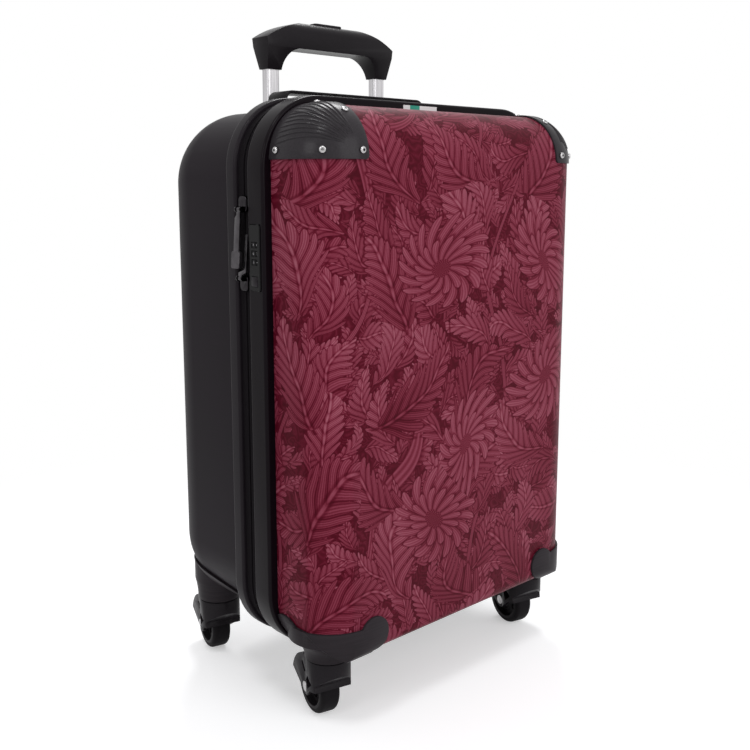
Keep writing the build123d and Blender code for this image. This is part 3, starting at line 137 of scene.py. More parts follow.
def srgb(red, green, blue):
    """A colour written in 0 to 255 steps, as the linear colour that a shader takes."""
    linear = []
    for step in (red, green, blue):
        part = step / 255
        linear.append(part / 12.92 if part <= 0.04045 else ((part + 0.055) / 1.055) ** 2.4)
    return (*linear, 1.0)


def add_node(tree, kind, values=None, **settings):
    """Add a node; values fill its inputs with numbers or with links from other nodes."""
    made = tree.nodes.new(kind)
    for key, value in settings.items():
        setattr(made, key, value)
    for key, value in (values or {}).items():
        if isinstance(value, bpy.types.NodeSocket):
            tree.links.new(value, made.inputs[key])
        else:
            made.inputs[key].default_value = value
    return made


def calc(tree, operation, first, second=0.0, third=0.0):
    """One step of arithmetic on numbers."""
    values = {0: first, 1: second, 2: third}
    return add_node(tree, "ShaderNodeMath", values, operation=operation).outputs[0]


def vector_step(tree, operation, first, second):
    """One step of arithmetic on vectors; SCALE takes a number as the second value."""
    values = {0: first, "Scale" if operation == "SCALE" else 1: second}
    return add_node(tree, "ShaderNodeVectorMath", values, operation=operation).outputs[0]


def step_between(tree, value, low, high, from_value=0.0, to_value=1.0):
    """A soft step that goes from one value to another as the input passes from low to high."""
    values = {"Value": value, "From Min": low, "From Max": high, "To Min": from_value, "To Max": to_value}
    return add_node(tree, "ShaderNodeMapRange", values, interpolation_type="SMOOTHSTEP").outputs["Result"]


def mixed(tree, below, above, mask):
    """One drawn layer laid over another."""
    return add_node(tree, "ShaderNodeMix", {0: mask, 2: below, 3: above}, data_type="FLOAT").outputs[0]


def turned_flat(tree, vector, angle):
    """A place on the sheet turned about the sheet's upright."""
    values = {"Vector": vector, "Angle": angle}
    return add_node(tree, "ShaderNodeVectorRotate", values, rotation_type="Z_AXIS").outputs[0]


def parts_of(tree, vector):
    """The three numbers of a vector."""
    return add_node(tree, "ShaderNodeSeparateXYZ", {"Vector": vector}).outputs


def noise(tree, vector, scale, detail, **settings):
    """Cloudy noise as a number."""
    values = {"Vector": vector, "Scale": scale, "Detail": detail, **settings}
    return add_node(tree, "ShaderNodeTexNoise", values).outputs[0]


def inked(tree, value, inks):
    """A colour that passes through some inks, each at its own value."""
    ramp = add_node(tree, "ShaderNodeValToRGB", {"Fac": value})
    stops = ramp.color_ramp.elements
    for stop, (place, ink) in zip(stops, (inks[0], inks[-1])):
        stop.position = place
        stop.color = srgb(*ink)
    for place, ink in inks[1:-1]:
        stops.new(place).color = srgb(*ink)
    return ramp.outputs["Color"]


def relief(tree, shader, height, strength, depth):
    """Let a pattern stand out from the surface by a small depth."""
    values = {"Strength": strength, "Distance": depth, "Height": height}
    bump = add_node(tree, "ShaderNodeBump", values)
    tree.links.new(bump.outputs["Normal"], shader.inputs["Normal"])


def new_material(name, **inputs):
    """A material with a Principled shader whose plain sockets are set."""
    material = bpy.data.materials.new(name)
    material.use_nodes = True
    shader = material.node_tree.nodes["Principled BSDF"]
    for key, value in inputs.items():
        shader.inputs[key.replace("_", " ")].default_value = value
    return material, material.node_tree, shader


def new_group(name, inputs, outputs):
    """A shader node group with number and vector inputs and number outputs."""
    group = bpy.data.node_groups.new(name, "ShaderNodeTree")
    for key in inputs:
        kind = "NodeSocketVector" if key == "Vector" else "NodeSocketFloat"
        group.interface.new_socket(key, in_out="INPUT", socket_type=kind)
    for key in outputs:
        group.interface.new_socket(key, in_out="OUTPUT", socket_type="NodeSocketFloat")
    start = group.nodes.new("NodeGroupInput")
    end = group.nodes.new("NodeGroupOutput")
    return group, start.outputs, end.inputs


def use_group(tree, group, **values):
    """Put a node group into a tree and return what it gives out."""
    return add_node(tree, "ShaderNodeGroup", values, node_tree=group).outputs


def scattered_cells(tree, vector, scale, seed, warp):
    """Random cells over the sheet: the way from each cell's point, and the cell's random colour."""
    grown = vector_step(tree, "SCALE", vector, scale)
    shift = add_node(tree, "ShaderNodeCombineXYZ", {"X": seed, "Y": calc(tree, "MULTIPLY", seed, 1.7)})
    moved = vector_step(tree, "ADD", grown, shift.outputs[0])
    bend = add_node(tree, "ShaderNodeTexNoise", {"Vector": moved, "Scale": 1.1, "Detail": 1.0})
    push = vector_step(tree, "SUBTRACT", bend.outputs["Color"], (0.5, 0.5, 0.5))
    bent = vector_step(tree, "ADD", moved, vector_step(tree, "SCALE", push, warp))
    values = {"Vector": bent, "Scale": 1.0, "Randomness": 0.7}
    cell = add_node(tree, "ShaderNodeTexVoronoi", values, voronoi_dimensions="2D")
    away = vector_step(tree, "SUBTRACT", bent, cell.outputs["Position"])
    dice = add_node(tree, "ShaderNodeSeparateColor", {"Color": cell.outputs["Color"]})
    return away, dice.outputs


def leaf_group():
    """Lobed leaves strewn over a sheet: where they are, their drawn tone and the dark round them."""
    group, given, result = new_group(
        "print_leaves",
        ["Vector", "Scale", "Seed", "Spread", "Lean", "Width", "Lobes"],
        ["Mask", "Tone", "Gap"],
    )
    away, dice = scattered_cells(group, given["Vector"], given["Scale"], given["Seed"], LEAF_WARP)
    swing = calc(group, "SUBTRACT", dice["Red"], 0.5)
    turn = calc(group, "MULTIPLY_ADD", swing, given["Spread"], given["Lean"])
    along, across, _ = parts_of(group, turned_flat(group, away, turn))
    curl = calc(group, "MULTIPLY_ADD", dice["Blue"], LEAF_CURL, -LEAF_CURL / 2)
    arch = calc(group, "MULTIPLY_ADD", along, along, -LEAF_ARCH)
    centred = calc(group, "SUBTRACT", across, calc(group, "MULTIPLY", curl, arch))
    side = calc(group, "ABSOLUTE", centred)
    slant = calc(group, "MULTIPLY_ADD", side, LEAF_SLANT, along)
    phase = calc(group, "MULTIPLY", slant, given["Lobes"])
    lobe = calc(group, "ABSOLUTE", calc(group, "SINE", phase))
    lobe = calc(group, "POWER", lobe, LOBE_ROUNDNESS)
    reach = calc(group, "DIVIDE", along, LEAF_HALF_LENGTH)
    taper = calc(group, "SUBTRACT", 1.0, calc(group, "MULTIPLY", reach, reach))
    taper = calc(group, "POWER", calc(group, "MAXIMUM", taper, 0.0), TIP_ROUNDNESS)
    taper = calc(group, "MULTIPLY", taper, calc(group, "MULTIPLY_ADD", along, LEAF_TAPER, 1.0))
    shape = calc(group, "MULTIPLY_ADD", lobe, 1 - LEAF_NECK, LEAF_NECK)
    width = calc(group, "MULTIPLY", calc(group, "MULTIPLY", taper, shape), given["Width"])
    inside = calc(group, "SUBTRACT", width, side)
    veins = calc(group, "SINE", calc(group, "MULTIPLY", phase, VEINS_PER_LOBE))
    veins = calc(group, "MULTIPLY", veins, step_between(group, side, 0.01, 0.05))
    rib = step_between(group, side, 0.006, 0.014, 1.0, 0.0)
    beside = calc(group, "MULTIPLY", step_between(group, side, 0.012, 0.018), MIDRIB_SHADE)
    beside = calc(group, "MULTIPLY", beside, step_between(group, side, 0.024, 0.045, 1.0, 0.0))
    tone = calc(group, "MULTIPLY_ADD", dice["Green"], LEAF_TONE_SPREAD, LEAF_TONE)
    tone = calc(group, "MULTIPLY_ADD", veins, VEIN_LIGHT, tone)
    tone = calc(group, "MULTIPLY_ADD", calc(group, "SUBTRACT", lobe, 0.7), LOBE_LIGHT, tone)
    tone = calc(group, "MULTIPLY_ADD", rib, MIDRIB_LIGHT, tone)
    tone = calc(group, "ADD", tone, beside)
    tone = calc(group, "MULTIPLY_ADD", along, TIP_LIGHT, tone)
    group.links.new(step_between(group, inside, 0.0, 0.012), result["Mask"])
    group.links.new(tone, result["Tone"])
    group.links.new(step_between(group, inside, -0.035, 0.0), result["Gap"])
    return group


def flower_group():
    """Flower heads with two rings of petals round a scaly heart, in about half of the cells."""
    group, given, result = new_group("print_flowers", ["Vector", "Scale", "Seed"], ["Mask", "Tone", "Gap"])
    away, dice = scattered_cells(group, given["Vector"], given["Scale"], given["Seed"], FLOWER_WARP)
    turned = turned_flat(group, away, calc(group, "MULTIPLY", dice["Red"], 6.0))
    squashed = add_node(group, "ShaderNodeMapping", {"Vector": turned, "Scale": FLOWER_SQUASH}).outputs[0]
    length = add_node(group, "ShaderNodeVectorMath", {0: squashed}, operation="LENGTH")
    reach = length.outputs["Value"]
    along, across, _ = parts_of(group, squashed)
    angle = calc(group, "ARCTAN2", across, along)
    swirl = calc(group, "MULTIPLY_ADD", reach, FLOWER_SWIRL, angle)
    chosen = step_between(group, dice["Blue"], FLOWER_CHANCE, FLOWER_CHANCE + 0.02)
    covers, halos, tones = [], [], []
    for petals, inner, extra, streaks, light in PETAL_RINGS:
        wave = calc(group, "ABSOLUTE", calc(group, "SINE", calc(group, "MULTIPLY", swirl, petals)))
        wave = calc(group, "POWER", wave, PETAL_ROUNDNESS)
        inside = calc(group, "SUBTRACT", calc(group, "MULTIPLY_ADD", wave, extra, inner), reach)
        drawn = calc(group, "SINE", calc(group, "MULTIPLY", swirl, streaks))
        tone = calc(group, "MULTIPLY_ADD", drawn, PETAL_STREAKS, light)
        tone = calc(group, "MULTIPLY_ADD", calc(group, "SUBTRACT", wave, 0.75), PETAL_LIGHT, tone)
        tones.append(calc(group, "MULTIPLY_ADD", reach, PETAL_EDGE_LIGHT, tone))
        covers.append(step_between(group, inside, 0.0, 0.008))
        halos.append(step_between(group, inside, -0.03, 0.0))
    shade = calc(group, "MULTIPLY_ADD", halos[1], PETAL_SHADE, 1.0)
    shaded = calc(group, "MULTIPLY", tones[0], shade)
    tone = mixed(group, shaded, tones[1], covers[1])
    heart = step_between(group, reach, *HEART_EDGE, 1.0, 0.0)
    rings = calc(group, "SINE", calc(group, "MULTIPLY", reach, HEART_RINGS))
    spokes = calc(group, "SINE", calc(group, "MULTIPLY", angle, HEART_SPOKES))
    scales = calc(group, "MULTIPLY_ADD", calc(group, "MULTIPLY", rings, spokes), 0.22, 0.42)
    group.links.new(calc(group, "MULTIPLY", covers[0], chosen), result["Mask"])
    group.links.new(mixed(group, tone, scales, heart), result["Tone"])
    group.links.new(calc(group, "MULTIPLY", halos[0], chosen), result["Gap"])
    return group


def stem_group():
    """Long stems that wander up the sheet."""
    group, given, result = new_group("print_stems", ["Vector", "Spacing", "Seed"], ["Mask", "Tone", "Gap"])
    across, up, _ = parts_of(group, given["Vector"])
    values = {"Vector": given["Vector"], "W": given["Seed"], "Scale": 6.0, "Detail": 0.0}
    drift = add_node(group, "ShaderNodeTexNoise", values, noise_dimensions="4D").outputs[0]
    wander = calc(group, "MULTIPLY_ADD", drift, STEM_DRIFT, across)
    leaning = calc(group, "MULTIPLY_ADD", up, STEM_LEAN, wander)
    phase = calc(group, "DIVIDE", leaning, given["Spacing"])
    side = calc(group, "ABSOLUTE", calc(group, "SUBTRACT", calc(group, "FRACT", phase), 0.5))
    light = calc(group, "COSINE", calc(group, "MULTIPLY", side, STEM_LINES))
    group.links.new(step_between(group, side, 0.020, 0.026, 1.0, 0.0), result["Mask"])
    group.links.new(calc(group, "MULTIPLY_ADD", light, 0.16, 0.6), result["Tone"])
    group.links.new(step_between(group, side, 0.02, 0.05, 1.0, 0.0), result["Gap"])
    return group


def print_material():
    """Satin printed film in one family of wine reds."""
    material, tree, shader = new_material("printed_film", IOR=1.46, Specular_IOR_Level=0.06)
    sheet = add_node(tree, "ShaderNodeUVMap", uv_map="print").outputs["UV"]
    leaves, flowers, stems = leaf_group(), flower_group(), stem_group()

    def leaf_layers(rows):
        """One layer of leaves for each row of a table."""
        layers = []
        for scale, seed, spread, lean, width, lobes in rows:
            values = {"Vector": sheet, "Scale": scale, "Seed": seed, "Spread": spread}
            layers.append(use_group(tree, leaves, Lean=lean, Width=width, Lobes=lobes, **values))
        return layers

    worms = noise(tree, sheet, GROUND_SCALE, 0.4, Distortion=0.5)
    loops = calc(tree, "SINE", calc(tree, "MULTIPLY", worms, GROUND_LOOPS))
    tone = calc(tree, "MULTIPLY_ADD", loops, 0.12, 0.2)
    layers = leaf_layers(LEAVES_UNDER_STEMS)
    layers.append(use_group(tree, stems, Vector=sheet, Spacing=STEM_SPACING, Seed=2.0))
    layers.extend(leaf_layers(LEAVES_OVER_STEMS))
    layers.append(use_group(tree, flowers, Vector=sheet, Scale=7.4, Seed=5.6))
    for layer in layers:
        shaded = calc(tree, "MULTIPLY_ADD", layer["Gap"], SHADE_ROUND_LAYERS, 1.0)
        tone = mixed(tree, calc(tree, "MULTIPLY", tone, shaded), layer["Tone"], layer["Mask"])
    fine = noise(tree, sheet, 700.0, 3.0)
    tone = calc(tree, "ADD", tone, calc(tree, "MULTIPLY_ADD", fine, 0.2, -0.1))
    wide = noise(tree, sheet, 8.0, 2.0)
    tone = calc(tree, "ADD", tone, calc(tree, "MULTIPLY_ADD", wide, 0.36, -0.18))
    tree.links.new(inked(tree, tone, WINE_INKS), shader.inputs["Base Color"])
    tree.links.new(calc(tree, "MULTIPLY_ADD", fine, 0.12, 0.36), shader.inputs["Roughness"])
    relief(tree, shader, tone, 0.3, 0.0001)
    return material


def grain_group():
    """The fine grain of moulded plastic, and the faint shade that it and wide clouds make."""
    group, given, result = new_group("moulding_grain", ["Vector", "Squeeze", "Grain"], ["Fine", "Shade"])
    values = {"X": given["Squeeze"], "Y": given["Squeeze"], "Z": 1.0}
    scale = add_node(group, "ShaderNodeCombineXYZ", values).outputs[0]
    long_grain = add_node(group, "ShaderNodeMapping", {"Vector": given["Vector"], "Scale": scale})
    fine = noise(group, long_grain.outputs[0], given["Grain"], 3.0)
    wide = noise(group, given["Vector"], 14.0, 3.0)
    shade = calc(group, "MULTIPLY_ADD", fine, 0.5, calc(group, "MULTIPLY", wide, 0.5))
    group.links.new(fine, result["Fine"])
    group.links.new(shade, result["Shade"])
    return group


moulding_grain = grain_group()


def moulded_plastic(name, colour, roughness, grain=900.0, grain_depth=0.00003, brushed=1.0, polish=0.0):
    """Moulded plastic with a fine grain; brushed stretches the grain along the floor's level."""
    material, tree, shader = new_material(
        name, IOR=1.48, Specular_IOR_Level=0.06, Coat_Weight=polish, Coat_Roughness=0.16
    )
    where = add_node(tree, "ShaderNodeTexCoord").outputs["Object"]
    surface = use_group(tree, moulding_grain, Vector=where, Squeeze=1 / brushed, Grain=grain)
    dark = [step * 0.86 for step in colour]
    light = [step * 1.14 for step in colour]
    shade = surface["Shade"]
    tree.links.new(inked(tree, shade, ((0.3, dark), (0.7, light))), shader.inputs["Base Color"])
    gloss = calc(tree, "MULTIPLY_ADD", shade, 0.22, roughness - 0.11)
    tree.links.new(gloss, shader.inputs["Roughness"])
    relief(tree, shader, surface["Fine"], 0.6, grain_depth)
    return material


def solid_copy(node, name, crease=30.0, bevel=0.0):
    """Copy a CAD solid as a piece, join its triangles, and smooth all but its true edges."""
    bpy.ops.object.select_all(action="DESELECT")
    piece = bpy.data.objects.new(name, nodes[node].data.copy())
    piece.data.transform(nodes[node].matrix_world)
    piece.data.materials.clear()
    bpy.context.scene.collection.objects.link(piece)
    piece.select_set(True)
    bpy.context.view_layer.objects.active = piece
    bpy.ops.object.mode_set(mode="EDIT")
    bpy.ops.mesh.select_all(action="SELECT")
    bpy.ops.mesh.remove_doubles(threshold=JOIN_DISTANCE)
    if bevel:
        bpy.ops.mesh.dissolve_limited(angle_limit=math.radians(FLAT_ANGLE))
    bpy.ops.object.mode_set(mode="OBJECT")
    if piece.data.has_custom_normals:
        bpy.ops.mesh.customdata_custom_splitnormals_clear()
    if bevel:
        rounding = piece.modifiers.new("rounding", "BEVEL")
        rounding.width = bevel
        rounding.segments = 2
        rounding.limit_method = "ANGLE"
        rounding.angle_limit = math.radians(BEVEL_ANGLE)
        bpy.ops.object.modifier_apply(modifier="rounding")
    bpy.ops.object.shade_smooth_by_angle(angle=math.radians(crease))
    return piece


def settle(piece, material, node=None, body=None):
    """Give a piece its material and slot, and let it ride in place of its CAD solid."""
    piece.data.materials.append(material)
    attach(piece, body or body_of[node])
    if node:
        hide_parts(node)
    return piece


def unroll(x, y, z):
    """Where a point of the front shell lies on the sheet unrolled flat, from its middle."""
    flat_x = max(-HALF_WIDTH + EDGE_ROUND, min(HALF_WIDTH - EDGE_ROUND, x))
    flat_z = max(-HALF_HEIGHT + FOOT_ROUND, min(HALF_HEIGHT - EDGE_ROUND, z - SHELL_MIDDLE))
    out_x = x - flat_x
    out_z = z - SHELL_MIDDLE - flat_z
    depth = max(y - FRONT_Y, 0.0)
    if depth < EDGE_ROUND:
        run = EDGE_ROUND * math.acos(1 - depth / EDGE_ROUND)
    else:
        run = ROUND_RUN + depth - EDGE_ROUND
    reach = math.hypot(out_x, out_z)
    if reach < NO_DISTANCE:
        return flat_x, flat_z
    return flat_x + out_x / reach * run, flat_z + out_z / reach * run


def is_outer(face):
    """Whether a face of the front shell lies on its printed side."""
    core_x = max(-HALF_WIDTH + EDGE_ROUND, min(HALF_WIDTH - EDGE_ROUND, face.center.x))
    core_y = max(FRONT_Y + EDGE_ROUND, face.center.y)
    core_z = max(SHELL_BOTTOM + FOOT_ROUND, min(SHELL_TOP - EDGE_ROUND, face.center.z))
    outward = face.center - Vector((core_x, core_y, core_z))
    return face.normal.dot(outward.normalized()) > OUTER_SHARE


front_shell = solid_copy("front_shell", "printed_front_shell")
sheet_map = front_shell.data.uv_layers.new(name="print")
for loop in front_shell.data.loops:
    sheet_map.data[loop.index].uv = unroll(*front_shell.data.vertices[loop.vertex_index].co)
settle(front_shell, print_material(), "front_shell")
inner_plastic = moulded_plastic("front_shell_plastic", SHELL_BLACK, 0.46, SHELL_GRAIN, SHELL_GRAIN_DEPTH)
front_shell.data.materials.append(inner_plastic)
for face in front_shell.data.polygons:
    face.material_index = 0 if is_outer(face) else 1

# Plain back shell: the other half of the case, thermoformed from black sheet with a fine
# brushed grain that runs across it.
back_plastic = moulded_plastic(
    "back_shell_plastic", SHELL_BLACK, 0.46, SHELL_GRAIN, SHELL_GRAIN_DEPTH, brushed=60.0
)
settle(solid_copy("back_shell", "plain_back_shell"), back_plastic, "back_shell")

# Front frame and back rim: moulded rings that clamp the shells' edges, both satin black.
# The rim on the back shell is slightly lighter.
frame_plastic = moulded_plastic("frame_plastic", (14, 8, 13), 0.3, 1100.0, polish=0.03)
rim_plastic = moulded_plastic("rim_plastic", (30, 26, 30), 0.36, 1100.0, polish=0.04)
settle(solid_copy("front_frame", "front_frame_ring"), frame_plastic, "front_frame")
settle(solid_copy("back_rim", "back_rim_ring"), rim_plastic, "back_rim")

# Zip: two woven tapes glued in the rims' recess, with the nylon coils on their inner face.
# The interlocked teeth show as a fine ladder in the seam between the tapes.
SPLIT_Y = -0.0294
SEAM_HALF = 0.0009
RIDGES = 5200.0
TAPE_THREADS = 7500.0
TOOTH_PITCH = 0.002
TOOTH_LENGTH = 0.0011
TOOTH_REACH = 0.0006
TOOTH_PROUD = 0.0029
TOOTH_CORNER = 0.0544
HINGE_HALF = 0.1453


def thread_group():
    """Threads that cross over and under each other, as a height."""
    group, given, result = new_group("crossed_threads", ["Across", "Along", "Threads"], ["Weave"])
    warp = calc(group, "SINE", calc(group, "MULTIPLY", given["Along"], given["Threads"]))
    weft = calc(group, "SINE", calc(group, "MULTIPLY", given["Across"], given["Threads"]))
    group.links.new(calc(group, "MULTIPLY", warp, weft), result["Weave"])
    return group


crossed_threads = thread_group()


def woven_tape():
    """Tightly woven polyester tape with ridges along it."""
    material, tree, shader = new_material("zip_tape", Roughness=0.85, Specular_IOR_Level=0.05)
    x, y, z = parts_of(tree, add_node(tree, "ShaderNodeTexCoord").outputs["Object"])
    ridge = calc(tree, "SINE", calc(tree, "MULTIPLY", y, RIDGES))
    threads = use_group(tree, crossed_threads, Across=x, Along=z, Threads=TAPE_THREADS)
    weave = calc(tree, "MULTIPLY_ADD", threads["Weave"], 0.35, ridge)
    shade = calc(tree, "MULTIPLY_ADD", weave, 0.4, 0.5)
    colour = inked(tree, shade, ((0.0, (10, 8, 10)), (1.0, (30, 27, 30))))
    tree.links.new(colour, shader.inputs["Base Color"])
    relief(tree, shader, weave, 0.7, 0.0002)
    return material


def zip_path(pitch):
    """Places along the zip's round-cornered loop, each with the way it runs, but for the hinge."""
    half_x = HALF_WIDTH + TOOTH_PROUD
    half_z = HALF_HEIGHT + TOOTH_PROUD
    arc = TOOTH_CORNER * math.pi / 2
    straight_x = 2 * (half_x - TOOTH_CORNER)
    straight_z = 2 * (half_z - TOOTH_CORNER)
    loop_length = 2 * (straight_x + straight_z) + 4 * arc
    places = []
    count = int(loop_length / pitch)
    for number in range(count):
        left = number * loop_length / count
        heading = 0.0
        corner_x, corner_z = half_x, TOOTH_CORNER - half_z
        for run in (straight_z, straight_x, straight_z, straight_x):
            along = Vector((math.cos(heading + math.pi / 2), 0, math.sin(heading + math.pi / 2)))
            out = Vector((math.cos(heading), 0, math.sin(heading)))
            start = Vector((corner_x, 0, corner_z))
            if left <= run:
                places.append((start + along * left, along, out))
                break
            left -= run
            centre = start + along * run - out * TOOTH_CORNER
            if left <= arc:
                angle = heading + left / TOOTH_CORNER
                outward = Vector((math.cos(angle), 0, math.sin(angle)))
                forward = Vector((-math.sin(angle), 0, math.cos(angle)))
                places.append((centre + outward * TOOTH_CORNER, forward, outward))
                break
            left -= arc
            heading += math.pi / 2
            outward = Vector((math.cos(heading), 0, math.sin(heading)))
            corner = centre + outward * TOOTH_CORNER
            corner_x, corner_z = corner.x, corner.z
    kept = []
    for place, along, out in places:
        if place.x > HALF_WIDTH and abs(place.z) < HINGE_HALF:
            continue
        kept.append((place + Vector((0, 0, SHELL_MIDDLE)), along, out))
    return kept


def face_outward(piece):
    """Turn every face of a closed piece to point out of it."""
    bpy.ops.object.select_all(action="DESELECT")
    piece.select_set(True)
    bpy.context.view_layer.objects.active = piece
    bpy.ops.object.mode_set(mode="EDIT")
    bpy.ops.mesh.select_all(action="SELECT")
    bpy.ops.mesh.normals_make_consistent(inside=False)
    bpy.ops.object.mode_set(mode="OBJECT")


def row_of_teeth(name, toward, shift, body):
    """One side's teeth, all in one mesh: each is a small rounded peg that reaches over the seam."""
    bpy.ops.object.select_all(action="DESELECT")
    bpy.ops.mesh.primitive_cube_add(size=1.0)
    peg = bpy.context.object
    bpy.ops.object.mode_set(mode="EDIT")
    bpy.ops.mesh.select_all(action="SELECT")
    bpy.ops.transform.resize(value=(TOOTH_LENGTH, SEAM_HALF + TOOTH_REACH, TOOTH_LENGTH))
    bpy.ops.mesh.bevel(offset=TOOTH_LENGTH / 5, segments=1, affect="EDGES")
    bpy.ops.object.mode_set(mode="OBJECT")
    corners = [vertex.co.copy() for vertex in peg.data.vertices]
    faces = [tuple(face.vertices) for face in peg.data.polygons]
    bpy.data.objects.remove(peg)
    points, polygons = [], []
    centre_y = SPLIT_Y + toward * (SEAM_HALF - TOOTH_REACH) / 2
    for place, along, out in zip_path(TOOTH_PITCH):
        base = len(points)
        for corner in corners:
            spot = place + along * (corner.x + shift) + out * corner.z
            points.append((spot.x, centre_y + corner.y, spot.z))
        polygons.extend([tuple(base + index for index in face) for face in faces])
    mesh = bpy.data.meshes.new(name)
    mesh.from_pydata(points, [], polygons)
    teeth = bpy.data.objects.new(name, mesh)
    bpy.context.scene.collection.objects.link(teeth)
    face_outward(teeth)
    settle(teeth, nylon, body=body)


tape_cloth = woven_tape()
for node in ("base_zip", "lid_zip"):
    settle(solid_copy(node, f"{node}_tape"), tape_cloth, node)
nylon = moulded_plastic("zip_nylon", (17, 16, 18), 0.3, 2500.0, 0.00001)
row_of_teeth("base_zip_teeth", 1, 0.0, "base")
row_of_teeth("lid_zip_teeth", -1, TOOTH_PITCH / 2, "lid")

# Hinge strip: a band of heavy woven tape let into both rims on the right side.
HINGE_X = 0.1705
HINGE_LID_Y = -0.0371
HINGE_BASE_Y = -0.0215
HINGE_LENGTH = 0.29
HINGE_THICKNESS = 0.0011

bpy.ops.object.select_all(action="DESELECT")
bpy.ops.mesh.primitive_grid_add(x_subdivisions=14, y_subdivisions=60, size=1.0)
hinge_tape = bpy.context.object
hinge_tape.name = "hinge_tape"
for vertex in hinge_tape.data.vertices:
    across, along, _ = vertex.co
    y = HINGE_LID_Y + (across + 0.5) * (HINGE_BASE_Y - HINGE_LID_Y)
    vertex.co = (HINGE_X, y, SHELL_MIDDLE + along * HINGE_LENGTH)
wall = hinge_tape.modifiers.new("wall", "SOLIDIFY")
wall.thickness = HINGE_THICKNESS
wall.offset = 0.0
bpy.ops.object.modifier_apply(modifier="wall")
face_outward(hinge_tape)
bpy.ops.object.shade_smooth_by_angle(angle=math.radians(40))
hinge_tape.data.materials.append(tape_cloth)
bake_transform(hinge_tape)
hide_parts("hinge_strip")

# Zip sliders and pulls: die-cast zinc, the sliders in dark gun metal and the pulls in a
# lighter satin finish.
EDGE_ROUNDING = 0.0003


def cast_metal(name, colour, roughness, scratches=0.3):
    """Plated metal with faint cloudiness and fine scratches."""
    material, tree, shader = new_material(name, Metallic=1.0)
    cloud = noise(tree, add_node(tree, "ShaderNodeTexCoord").outputs["Object"], 160.0, 4.0)
    dark = [step * 0.88 for step in colour]
    light = [step * 1.1 for step in colour]
    tree.links.new(inked(tree, cloud, ((0.35, dark), (0.65, light))), shader.inputs["Base Color"])
    gloss = calc(tree, "MULTIPLY_ADD", cloud, scratches, roughness - scratches / 2)
    tree.links.new(gloss, shader.inputs["Roughness"])
    relief(tree, shader, cloud, 0.3, 0.00002)
    return material


gun_metal = cast_metal("gun_metal", (40, 37, 40), 0.16, 0.12)
satin_metal = cast_metal("satin_metal", (74, 71, 74), 0.36, 0.2)
for node in ("upper_slider", "lower_slider", "upper_pull", "lower_pull"):
    finish = satin_metal if node.endswith("pull") else gun_metal
    settle(solid_copy(node, f"{node}_cast", bevel=EDGE_ROUNDING), finish, node)

# Combination lock: a moulded case let into the frame, with a release button and three
# number wheels. Each wheel is turned half a step from its solid, so one digit faces out.
DIGITS = 10
DIGIT_STEP = 2 * math.pi / DIGITS
DIAL_RADIUS = 0.006
DIAL_FACE = DIAL_RADIUS * math.cos(DIGIT_STEP / 2)
DIAL_BEVEL = 0.00025
DIGIT_HEIGHT = 0.0027
DIGIT_PROUD = 0.00003
DIGIT_GREY = (150, 148, 150)


def join_pieces(pieces, name):
    """Make several meshes one piece."""
    bpy.ops.object.select_all(action="DESELECT")
    for piece in pieces:
        piece.select_set(True)
    bpy.context.view_layer.objects.active = pieces[0]
    bpy.ops.object.join()
    joined = bpy.context.object
    joined.name = name
    return joined


lock_plastic = moulded_plastic("lock_plastic", (12, 11, 12), 0.24, 1500.0, 0.00001, polish=0.15)
dial_plastic = moulded_plastic("dial_plastic", (14, 13, 14), 0.3, 1500.0, 0.00001, polish=0.06)
digit_paint = moulded_plastic("digit_paint", DIGIT_GREY, 0.5, 3000.0, 0.000005)
settle(solid_copy("lock_body", "lock_case"), lock_plastic, "lock_body")
release = solid_copy("lock_button", "lock_release", bevel=EDGE_ROUNDING)
settle(release, gun_metal, "lock_button")
for number in (1, 2, 3):
    node = f"lock_dial_{number}"
    low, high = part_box(node)
    centre = Vector([(low[axis] + high[axis]) / 2 for axis in range(3)])
    wheel = solid_copy(node, f"number_wheel_{number}", crease=20.0, bevel=DIAL_BEVEL)
    half_step = Matrix.Rotation(DIGIT_STEP / 2, 4, "Z")
    wheel.data.transform(Matrix.Translation(centre) @ half_step @ Matrix.Translation(-centre))
    settle(wheel, dial_plastic, node)
    bpy.ops.object.select_all(action="DESELECT")
    digits = []
    for digit in range(DIGITS):
        bpy.ops.object.text_add(location=(0, 0, 0))
        numeral = bpy.context.object
        numeral.data.body = str((digit + 3 * number) % DIGITS)
        numeral.data.size = DIGIT_HEIGHT
        numeral.data.align_x = "CENTER"
        numeral.data.align_y = "CENTER"
        numeral.data.extrude = DIGIT_PROUD
        numeral.data.resolution_u = 3
        bpy.ops.object.convert(target="MESH")
        angle = math.pi + digit * DIGIT_STEP
        out = Vector((math.cos(angle), math.sin(angle), 0))
        right = Vector((-math.sin(angle), math.cos(angle), 0))
        for vertex in numeral.data.vertices:
            across, up, lift = vertex.co
            face = centre + out * (DIAL_FACE + DIGIT_PROUD + lift)
            vertex.co = face + right * across + Vector((0, 0, up))
        digits.append(numeral)
    numerals = join_pieces(digits, f"numerals_{number}")
    numerals.data.materials.clear()
    settle(numerals, digit_paint, body=body_of[node])

# Corner protectors: stiff moulded caps over the printed shell's top corners, riveted on.
# Shallow ribs fan out over each cap from a point near its lower inner rivet.
CAP_LIFT = 0.0018
CAP_REACH = 0.0476
CAP_HEIGHT = 0.044
CAP_BEVEL = 0.0005
RIB_COUNT = 13
RIB_HALF_WIDTH = 0.00055
RIB_HEIGHT = 0.00045
RIB_SUNK = 0.0001
RIB_SKIN = 0.0004
RIB_STEPS = 26
RIB_ACROSS = 4
RIB_START = 0.009
RIB_STAGGER = 0.002
RIB_LONGEST = 0.092
RIB_PAST_ROUND = 0.012
RIB_TRIAL = 0.0005
RIB_BEND = 0.004
FAN_IN = 0.012
FAN_UP = 0.011
FAN_FIRST = 8
FAN_SPREAD = 82


